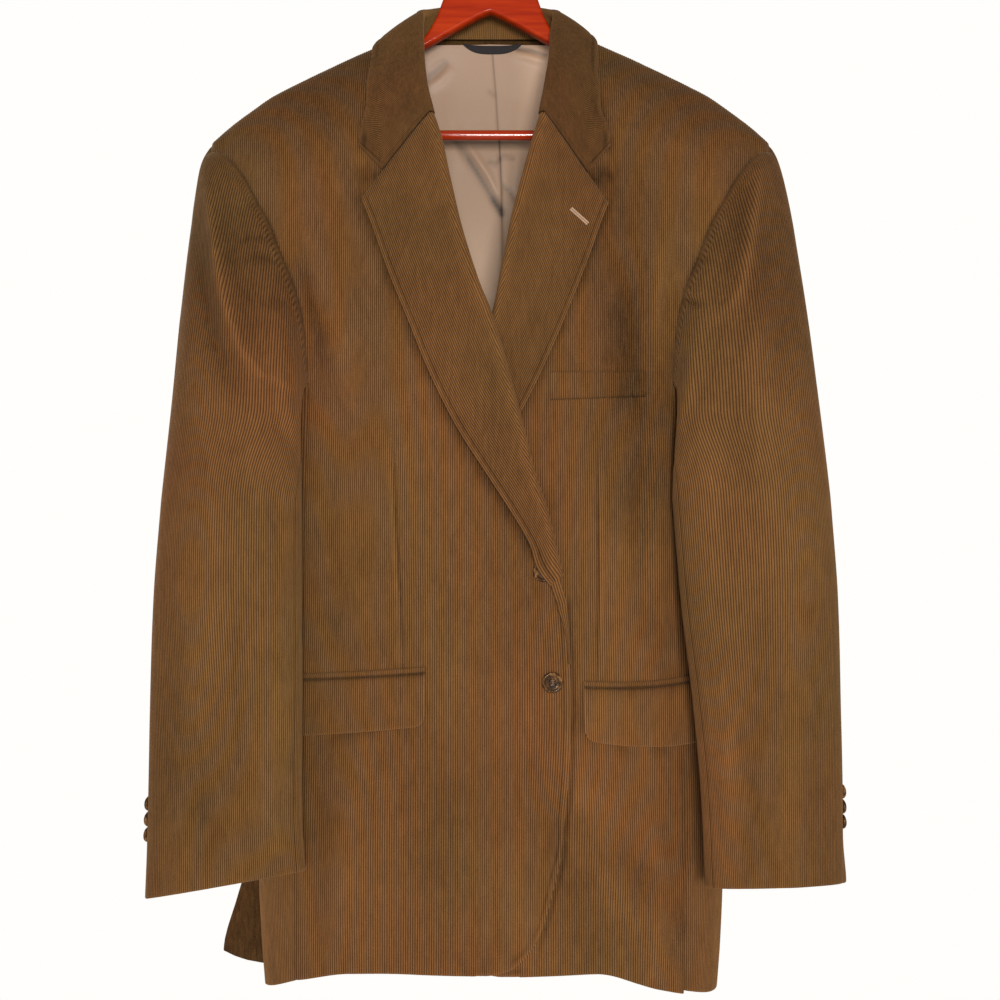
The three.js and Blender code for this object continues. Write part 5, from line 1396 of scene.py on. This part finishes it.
def pocket(side):
    """A hip pocket's lip and the flap under it."""
    spot = POCKETS[side]
    name = FRONTS[side]["name"]
    x = wale_columns(spot["x0"], spot["x1"])
    u = (x - spot["x0"]) / (spot["x1"] - spot["x0"])
    sag = spot["sag"] * np.sin(np.pi * u)
    top = lerp(spot["top_in"], spot["top_out"], u) - sag * 0.6
    place, normal, relief, groove, across, z = strip(
        side, x, top - LIP["high"], top, LIP["thick"] + POCKET_RAISE, 8)
    up = (z - z[:, :1]) / LIP["high"]
    relief = 0.4 * relief + 0.6 * np.sin(np.pi * up)
    # Painted light along the lip's top and painted shade along its foot
    tone = 0.12 * ease(0.6, 1, up) - 0.55 * ease(0.45, 0, up)
    both = ("corduroy", "corduroy")
    shell(f"pocket_lip_{name}", place, normal, relief, groove, tone, thickness=LIP["thick"], coarse=(12, 2),
          finishes=both)
    corner = FLAP_CORNER * (1 - np.sqrt(1 - (1 - np.clip((x - spot["x0"]) / FLAP_CORNER, 0, 1)) ** 2))
    low = lerp(spot["low_in"], spot["low_out"], u) + corner - sag
    place, normal, relief, groove, across, z = strip(
        side, x, low, top - LIP["high"] - 2 * SEAM, CLOTH + POCKET_RAISE, 16)
    down = (z[:, -1:] - z) / (z[:, -1:] - z[:, :1])
    place = place + normal * (2.2 * down ** 2 + 0.5 * wander(across / 14, z / 20))[..., None]
    rim = np.minimum(across - x[0], z - z[:, :1])
    # Painted light on the flap's rim, painted shade under the lip, and painted light low on the wearer's left
    # flap
    tone = 0.3 * ease(1.8, 0.3, rim) - 0.4 * np.exp(-(z[:, -1:] - z) / 2)
    tone = tone + 0.14 * ease(0, 12, z[:, -1:] - z) * (side > 0)
    shell(f"pocket_flap_{name}", place, normal, relief, groove, tone, finishes=both)


for side in (-1, 1):
    pocket(side)


def welt():
    """The breast pocket's folded strip."""
    x = wale_columns(WELT["x0"], WELT["x1"])
    u = (x - WELT["x0"]) / (WELT["x1"] - WELT["x0"])
    low = lerp(WELT["low_in"], WELT["low_out"], u)
    high = lerp(WELT["top_in"], WELT["top_out"], u)
    place, normal, relief, groove, across, z = strip(1, x, low, high, WELT["thick"] + POCKET_RAISE, 12)
    # Painted light along the top and painted shade along the foot, with the front's painted light and shade
    tone = 0.14 * np.exp(-(z[:, -1:] - z) / 1.4) - 0.3 * np.exp(-(z - z[:, :1]) / 1.2)
    tone = tone + 1.3 * shades(across, z, FRONT_SHADES)
    shell("breast_welt", place, normal, relief, groove, tone, thickness=WELT["thick"],
          finishes=("corduroy", "corduroy"))


welt()

# The buttons
# Turned discs of marbled brown plastic with a raised rim and four holes, sewn on with brown thread: two on
# the wearer's right front and three small ones at each cuff.
FRONT_BUTTON = dict(radius=8.75, high=3.2)
CUFF_BUTTON = dict(radius=6.25, high=2.6)
FRONT_BUTTONS = rows("name x z", ("upper", -43, -470), ("lower", -51, -563))
CUFF_BUTTON_ROWS = (0.872, 0.893, 0.914)
CUFF_BUTTON_SHARE = -0.176
HOLE_RING = 0.27
HOLE_SIZE = 0.115
BUTTON_TURNS = 56


def button_finish():
    """Marbled plastic: dark brown with amber clouds, under a clear polish."""
    horn = Finish("button", Roughness=0.3, Specular_IOR_Level=0.06, Coat_Weight=0.12, Coat_Roughness=0.08)
    swirl = horn.noise((230, 230, 180), detail=4, rough=0.6)
    fine = horn.noise((900, 900, 700), detail=2)
    stops = [(0.3, (0.012, 0.005, 0.001)), (0.52, (0.045, 0.019, 0.005)), (0.68, (0.14, 0.065, 0.02)),
             (0.85, (0.3, 0.17, 0.07))]
    colour = horn.node("ShaderNodeValToRGB", {"stops": stops}, {0: 0.5 + swirl * 0.7 + fine * 0.08})
    # Painted shade in the four holes, which are only shallow dips
    dark = horn.attribute("groove")
    horn.set(horn.shader, {"Base Color": horn.mix(dark, colour, (0.004, 0.003, 0.003))})
    return horn.material


def thread_finish():
    """Brown sewing thread with the twist of its plies."""
    thread = Finish("thread", Roughness=0.8, Sheen_Weight=0.3)
    ply = thread.noise((6000, 6000, 6000), detail=1)
    colour = thread.mix(0.5, (0.1, 0.055, 0.03), (0.12, 0.06, 0.035))
    thread.set(thread.shader, {"Base Color": thread.grade(colour, 1 + ply * 0.4)})
    return thread.material


FINISHES["button"] = button_finish()
FINISHES["thread"] = thread_finish()


def grid_faces(columns, levels, closed):
    """Four-cornered faces of a grid of points, closed round its columns or open."""
    i, j = np.meshgrid(np.arange(columns if closed else columns - 1), np.arange(levels - 1), indexing="ij")
    i, j = i.ravel(), j.ravel()
    k = (i + 1) % columns
    return np.stack([i * levels + j, k * levels + j, k * levels + j + 1, i * levels + j + 1], 1)


def frame_of(normal):
    """Two directions across a normal."""
    side_way = unit(np.cross(normal, (0, 0, 1)))
    return side_way, np.cross(side_way, normal)


def button(name, size, place, normal):
    """A profile turned round the button's axis, with four round dips for the holes."""
    radius, high = size["radius"], size["high"]
    under = [(0.004, 0), (0.5, 0), (0.87, 0), (0.95, 0.1), (0.995, 0.3),
             (1, 0.5), (0.985, 0.75), (0.95, 0.93),
             (0.88, 1), (0.8, 0.98), (0.74, 0.9), (0.69, 0.76), (0.64, 0.69)]
    inner = [(r, 0.66 - 0.03 * (0.6 - r)) for r in np.linspace(0.58, 0.004, 26)]
    r, h = np.array(under + inner).T
    turns = np.linspace(0, 2 * math.pi, BUTTON_TURNS, endpoint=False)[:, None]
    a, b = r * np.cos(turns), r * np.sin(turns)
    hole = np.zeros(a.shape)
    for quarter in range(4):
        angle = math.pi / 4 + quarter * math.pi / 2
        away = np.hypot(a - HOLE_RING * math.cos(angle), b - HOLE_RING * math.sin(angle))
        hole = np.maximum(hole, 1 - ease(HOLE_SIZE * 0.72, HOLE_SIZE * 1.12, away))
    hole = hole * (np.arange(len(r)) >= len(under))
    right, up = frame_of(normal)
    flat = a[..., None] * right * radius + b[..., None] * up * radius
    points = place + normal * LAY + flat + ((h * high)[None] - hole * 0.5 * high)[..., None] * normal
    grid = points.reshape(-1, 3)
    levels = len(r)
    poles = np.array([grid[0::levels].mean(0), grid[levels - 1::levels].mean(0)])
    ring = np.arange(BUTTON_TURNS) * levels
    following = np.roll(ring, -1)
    count = len(grid)
    fans = [np.stack([following, ring, np.full(BUTTON_TURNS, count)], 1),
            np.stack([ring + levels - 1, following + levels - 1, np.full(BUTTON_TURNS, count + 1)], 1)]
    points = (np.concatenate([grid, poles]) + (0, -CLOTH_FORWARD, -NECK_DROP)) * MM
    mesh, used = mesh_of(name, points, [grid_faces(BUTTON_TURNS, levels, True), *fans], sharp=50)
    attribute(mesh, "groove", np.concatenate([hole.ravel(), [0, 0]])[used])
    link(name + "_disc", mesh, name, ["button"])
    return right, up


def tube_mesh(name, paths, radius, sides, squash=1.0):
    """Round bars along several paths of equal length, as one mesh with closed ends."""
    paths = np.asarray(paths, float)
    ways = unit(np.gradient(paths, axis=1))
    first = unit(np.cross(ways, np.array([0.31, 0.2, 0.93])))
    second = np.cross(ways, first)
    angle = np.linspace(0, 2 * math.pi, sides, endpoint=False)[:, None, None, None]
    ring = paths + radius * (np.cos(angle) * first * squash + np.sin(angle) * second)
    count, steps = paths.shape[:2]
    points = np.moveaxis(ring, 0, 1).reshape(-1, 3)
    each = grid_faces(sides, steps, True)
    bases = np.arange(count)[:, None, None] * sides * steps
    tips = np.concatenate([paths[:, :1], paths[:, -1:]], 1).reshape(-1, 3)
    near = np.arange(sides) * steps
    far = np.roll(near, -1)
    first_tip = len(points) + 2 * np.arange(count)[:, None]
    start = np.stack([np.broadcast_to(first_tip, (count, sides)), near + bases[:, 0], far + bases[:, 0]], -1)
    end = np.stack([np.broadcast_to(first_tip + 1, (count, sides)), far + steps - 1 + bases[:, 0],
                    near + steps - 1 + bases[:, 0]], -1)
    faces = [(each + bases).reshape(-1, 4)[:, ::-1],
             start.reshape(-1, 3)[:, ::-1], end.reshape(-1, 3)[:, ::-1]]
    points = (np.concatenate([points, tips]) + (0, -CLOTH_FORWARD, -NECK_DROP)) * MM
    mesh, _ = mesh_of(name, points, faces)
    fix = bmesh.new()
    fix.from_mesh(mesh)
    bmesh.ops.recalc_face_normals(fix, faces=fix.faces)
    fix.to_mesh(mesh)
    fix.free()
    return mesh


def button_stitches(name, size, place, normal, right, up):
    """Two thread bars over each button, from hole to hole, with three strands in each."""
    radius, high = size["radius"], size["high"]
    t = np.linspace(-1, 1, 9)[:, None]
    bars = []
    for row in (-1, 1):
        for strand in (-1, 0, 1):
            across = up * (row * HOLE_RING * math.sin(math.pi / 4) * radius + strand * 0.28)
            lift = normal * (LAY + high * 0.66 + 0.35 - 0.75 * np.abs(t) ** 6)
            bars.append(place + across + right * t * HOLE_RING * math.cos(math.pi / 4) * radius + lift)
    mesh = tube_mesh(name, bars, 0.17, 6)
    link(name, mesh, None, ["thread"])


def sew_button(name, size, place, normal):
    """A button and its thread."""
    right, up = button(name, size, place, normal)
    button_stitches(name + "_thread", size, place, normal, right, up)


for spot in FRONT_BUTTONS:
    there = front_skin(-1, np.array(spot["x"], float), np.array(spot["z"], float))
    sew_button(f"front_button_{spot['name']}", FRONT_BUTTON, *there)
for side in (-1, 1):
    for number, v in enumerate(CUFF_BUTTON_ROWS, 1):
        there = sleeve_skin(side, np.array(CUFF_BUTTON_SHARE), np.array(v))
        sew_button(f"cuff_button_{FRONTS[side]['name']}_{number}", CUFF_BUTTON, *there)

# The lapel buttonhole
# A straight buttonhole worked in lighter thread near the notch of the wearer's left lapel.
HOLE_ENDS = ((66.5, -172.5), (80, -184.5))
HOLE_STITCHES = 30
HOLE_HALF = 1.5


def buttonhole():
    """Short bars across the slit, side by side along both of its edges."""
    ends = np.array(HOLE_ENDS, float)
    way = unit(ends[1] - ends[0])
    across = np.array([-way[1], way[0]])
    t = np.linspace(0, 1, HOLE_STITCHES)[:, None, None]
    reach = np.linspace(0.15, 1, 5)[None, :, None]
    middle = ends[0] + (ends[1] - ends[0]) * t
    bars = np.concatenate([middle + across * reach * HOLE_HALF, middle - across * reach * HOLE_HALF])
    place, _ = front_skin(1, bars[..., 0], bars[..., 1], 3 + WALE_HIGH + 1.7)
    mesh = tube_mesh("lapel_buttonhole", place, 0.32, 6)
    link("lapel_buttonhole", mesh, None, ["buttonhole_thread"])


def buttonhole_finish():
    """Lighter thread, uneven along its ply."""
    thread = Finish("buttonhole_thread", Roughness=0.7, Sheen_Weight=0.3)
    ply = thread.noise((5000, 5000, 5000), detail=1)
    colour = thread.mix(0.5, (0.32, 0.19, 0.105), (0.29, 0.17, 0.095))
    thread.set(thread.shader, {"Base Color": thread.grade(colour, 1 + ply * 0.4)})
    return thread.material


FINISHES["buttonhole_thread"] = buttonhole_finish()
buttonhole()

# The hanger
# A flat wooden board cut to the shoulders with rounded edges, under a clear orange-red lacquer, a round
# bar between its arms, and a bent wire hook set in a hole on top.
BOARD = dict(thick=12, round=2.6, clearance=6.9, notch_z=15.7)
BOARD_TOP = rows("x z", (0, 58), (12, 57), (28, 46), (40, 27), (47, 9), (56, -6), (66, -15), (78, -21))
ARM_COLUMNS = (90, 105, 122, 139, 157, 174, 192, 204, 212)
BOARD_UNDER = rows("x z", (212, -103), (204, -102))
BAR = dict(radius=4.35, z=-93, half=204)
HOOK = dict(wire=1.8, radius=22, stem=20, proud=5)
WOOD_LIGHT = (0.31, 0.026, 0.002)
WOOD_MIDDLE = (0.25, 0.016, 0.001)
WOOD_DARK = (0.165, 0.007, 0.001)


def lacquer_finish(name, grain_scale, gloss):
    """Long grain in three reds under a clear coat."""
    wood = Finish(name, Roughness=0.4, Specular_IOR_Level=0.04, Coat_Weight=gloss, Coat_Roughness=0.08)
    grain = wood.noise(grain_scale, detail=5, rough=0.62)
    figure = wood.noise(tuple(0.12 * k for k in grain_scale), detail=2)
    stops = [(0.25, WOOD_DARK), (0.6, WOOD_MIDDLE), (0.85, WOOD_LIGHT)]
    colour = wood.node("ShaderNodeValToRGB", {"stops": stops}, {0: 0.55 + grain * 0.5 + figure * 0.35})
    wood.set(wood.shader, {"Base Color": colour, "Normal": wood.bump(grain, 0.00006)})
    return wood.material


def wire_finish():
    """Bright drawn steel wire with faint lengthwise marks."""
    wire = Finish("hook_wire", Metallic=1.0)
    marks = wire.noise((900, 900, 120), detail=2)
    wire.set(wire.shader, {"Base Color": (0.62, 0.61, 0.59), "Roughness": 0.26 + marks * 0.08})
    return wire.material


FINISHES["board"] = lacquer_finish("board", (18, 160, 260), 0.1)
FINISHES["bar"] = lacquer_finish("bar", (14, 320, 320), 0.9)
FINISHES["hook_wire"] = wire_finish()


def place_hanger(points):
    """From the garment's millimetres to metres under the hook."""
    return (points + (0, 0, -NECK_DROP)) * MM


def board():
    """The outline carried across the board's thickness, drawn in at both faces by a quarter round."""
    arms = [dict(x=x, z=float(ridge_z(x)) - BOARD["clearance"]) for x in ARM_COLUMNS]
    top_z = table(BOARD_TOP + arms, "x", "z")
    x = np.concatenate([np.linspace(0, 60, 61), np.linspace(63, ARM_COLUMNS[-1], 51)])
    upper = np.stack([x, top_z(x)], 1)
    tip = np.array([[212.5, -101.5], [211, -103.2], [208, -103]])
    slope = (BOARD_UNDER[1]["z"] - BOARD["notch_z"]) / BOARD_UNDER[1]["x"]
    x = np.linspace(BOARD_UNDER[1]["x"], 0, 69)
    soft = 5 * np.exp(-x / 9)
    lower = np.stack([x, BOARD["notch_z"] + slope * x - soft * 0.5], 1)
    half = np.concatenate([upper, tip, lower])
    outline = np.concatenate([half, half[1:-1][::-1] * (-1, 1)])
    way = unit(np.roll(outline, -1, 0) - np.roll(outline, 1, 0))
    inward = np.stack([way[:, 1], -way[:, 0]], 1)
    inside = -1 if np.sum(inward * (outline - (0, 20))) > 0 else 1
    rings = []
    for angle in np.linspace(math.pi / 2, -math.pi / 2, 13):
        depth = (BOARD["thick"] / 2 - BOARD["round"]) * np.sign(round(math.sin(angle), 6))
        inset = BOARD["round"] * (1 - math.cos(angle))
        flat = outline + inward * inside * inset
        rings.append(np.stack([flat[:, 0], np.full(len(flat), depth + BOARD["round"] * math.sin(angle)),
                               flat[:, 1]], 1))
    points = place_hanger(np.stack(rings, 1).reshape(-1, 3))
    levels = len(rings)
    mesh, _ = mesh_of("hanger_board", points, [grid_faces(len(outline), levels, True)], sharp=40)
    fix = bmesh.new()
    fix.from_mesh(mesh)
    fix.verts.ensure_lookup_table()
    for level in (0, levels - 1):
        cap = fix.faces.new([fix.verts[k * levels + level] for k in range(len(outline))])
        bmesh.ops.triangulate(fix, faces=[cap], ngon_method="EAR_CLIP")
    bmesh.ops.recalc_face_normals(fix, faces=fix.faces)
    fix.to_mesh(mesh)
    fix.free()
    link("hanger_board_wood", mesh, "hanger_board", ["board"])


def turned(profile, turns):
    """A profile of distances and places along X, turned round the X axis."""
    r, x = np.array(profile, float).T
    angle = np.linspace(0, 2 * math.pi, turns, endpoint=False)[:, None]
    points = np.stack([x + 0 * angle, r * np.cos(angle), r * np.sin(angle)], -1)
    return points, grid_faces(turns, len(r), True)


def bar():
    """The round bar between the board's arms."""
    radius, half = BAR["radius"], BAR["half"]
    profile = [(0.01, -half), (radius - 0.4, -half), (radius, -half + 0.5)]
    profile += [(radius, x) for x in np.linspace(-half + 20, half - 20, 21)]
    profile += [(radius, half - 0.5), (radius - 0.4, half), (0.01, half)]
    points, faces = turned(profile, 40)
    points = place_hanger(points.reshape(-1, 3) + (0, 0, BAR["z"]))
    mesh, _ = mesh_of("trouser_bar", points, [faces], sharp=50)
    fix = bmesh.new()
    fix.from_mesh(mesh)
    bmesh.ops.remove_doubles(fix, verts=fix.verts, dist=0.00003)
    bmesh.ops.recalc_face_normals(fix, faces=fix.faces)
    fix.to_mesh(mesh)
    fix.free()
    link("trouser_bar_wood", mesh, "trouser_bar", ["bar"])


def hook():
    """A straight stem, an offset bend and most of a circle, joined by a smooth curve through its places."""
    bend = HOOK["radius"] + HOOK["wire"]
    centre = NECK_DROP - HOOK["radius"]
    low = BOARD_TOP[0]["z"] + HOOK["proud"] - HOOK["stem"] + 0.3
    angles = np.radians(np.arange(-62, 191, 14))
    stem = [(0, low), (0, low + 12), (0, 66), (0.8, 77), (4.5, 85.5)]
    circle = [(bend * math.cos(a), centre + bend * math.sin(a)) for a in angles]
    knots = np.array(stem + circle)
    k = np.linspace(0, len(knots) - 1, 160)
    ways = np.gradient(knots, axis=0)
    i = np.minimum(k.astype(int), len(knots) - 2)
    t = (k - i)[:, None]
    path = ((1 + 2 * t) * (1 - t) ** 2 * knots[i] + t * (1 - t) ** 2 * ways[i]
            + t * t * (3 - 2 * t) * knots[i + 1] + t * t * (t - 1) * ways[i + 1])
    path = np.stack([path[:, 0], 0 * path[:, 0], path[:, 1]], 1)
    path = path + (0, CLOTH_FORWARD, 0)
    mesh = tube_mesh("hanger_hook", [path], HOOK["wire"], 20)
    link("hanger_hook_wire", mesh, "hanger_hook", ["hook_wire"])


board()
bar()
hook()

# The light, the floor and the camera
# A pale surround that is dim overhead, a lamp in front and a lamp behind at the wearer's right, and a pale
# floor. The camera stands straight in front of the jacket's middle, as the photographer did.
PIXEL = 0.83                  # millimetres to a pixel of the photo at the front's depth
FRONT_DEPTH = -50
CAMERA_BACK = 1000
CENTRE = (8.3, -412)


def area_light(name, place, target, size, power, colour):
    """A lamp with a square face, turned to a target."""
    lamp = bpy.data.lights.new(name, "AREA")
    lamp.shape = "RECTANGLE"
    lamp.size, lamp.size_y = size
    lamp.energy = power
    lamp.color = colour
    thing = bpy.data.objects.new(name, lamp)
    bpy.context.scene.collection.objects.link(thing)
    thing.visible_camera = False
    way = np.array(target) - np.array(place)
    thing.location = place
    thing.rotation_euler = (math.atan2(math.hypot(way[0], way[1]), -way[2]), 0, math.atan2(-way[0], way[1]))


def studio():
    """A bright even surround that falls off overhead, from the height of the view direction."""
    world = bpy.data.worlds.new("studio")
    bpy.context.scene.world = world
    world.use_nodes = True
    nodes, links = world.node_tree.nodes, world.node_tree.links
    way = nodes.new("ShaderNodeTexCoord")
    split = nodes.new("ShaderNodeSeparateXYZ")
    ramp = nodes.new("ShaderNodeValToRGB")
    ramp.color_ramp.elements[0].position = 0.42
    ramp.color_ramp.elements[0].color = (1.0, 0.99, 0.97, 1)
    ramp.color_ramp.elements[1].position = 0.56
    ramp.color_ramp.elements[1].color = (0.16, 0.16, 0.16, 1)
    links.new(way.outputs["Generated"], split.inputs[0])
    links.new(split.outputs["Z"], ramp.inputs[0])
    links.new(ramp.outputs["Color"], nodes["Background"].inputs["Color"])
    nodes["Background"].inputs["Strength"].default_value = 1.0


studio()
area_light("key", (0.16, -2.1, -0.5), (0, 0, -0.55), (0.5, 0.5), 50, (1, 0.98, 0.95))
area_light("behind", (-1.9, 1.5, 0.1), (0, 0, -0.55), (0.8, 0.8), 42, (1, 0.98, 0.95))

FLOOR_Z = -1.5
FLOOR_REACH = 1.2
turn = np.linspace(0, 2 * math.pi, 96, endpoint=False)
ring = np.stack([FLOOR_REACH * np.cos(turn), FLOOR_REACH * np.sin(turn), 0 * turn + FLOOR_Z], 1)
floor_mesh = bpy.data.meshes.new("floor")
floor_mesh.from_pydata(ring.tolist(), [], [tuple(range(len(ring)))])
floor = bpy.data.objects.new("floor", floor_mesh)
pale = Finish("pale_floor", Roughness=0.8, Base_Color=(0.85, 0.83, 0.8))
floor_mesh.materials.append(pale.material)
bpy.context.scene.collection.objects.link(floor)

lens = bpy.data.cameras.new("camera")
lens.sensor_width = 36
lens.lens = 36 * CAMERA_BACK / (1000 * PIXEL)
camera = bpy.data.objects.new("camera", lens)
camera.location = (CENTRE[0] * MM, (FRONT_DEPTH - CAMERA_BACK - CLOTH_FORWARD) * MM,
                   (CENTRE[1] - NECK_DROP) * MM)
camera.rotation_euler = (math.pi / 2, 0, 0)
bpy.context.scene.collection.objects.link(camera)
bpy.context.scene.camera = camera
bpy.context.scene.view_settings.view_transform = "Standard"
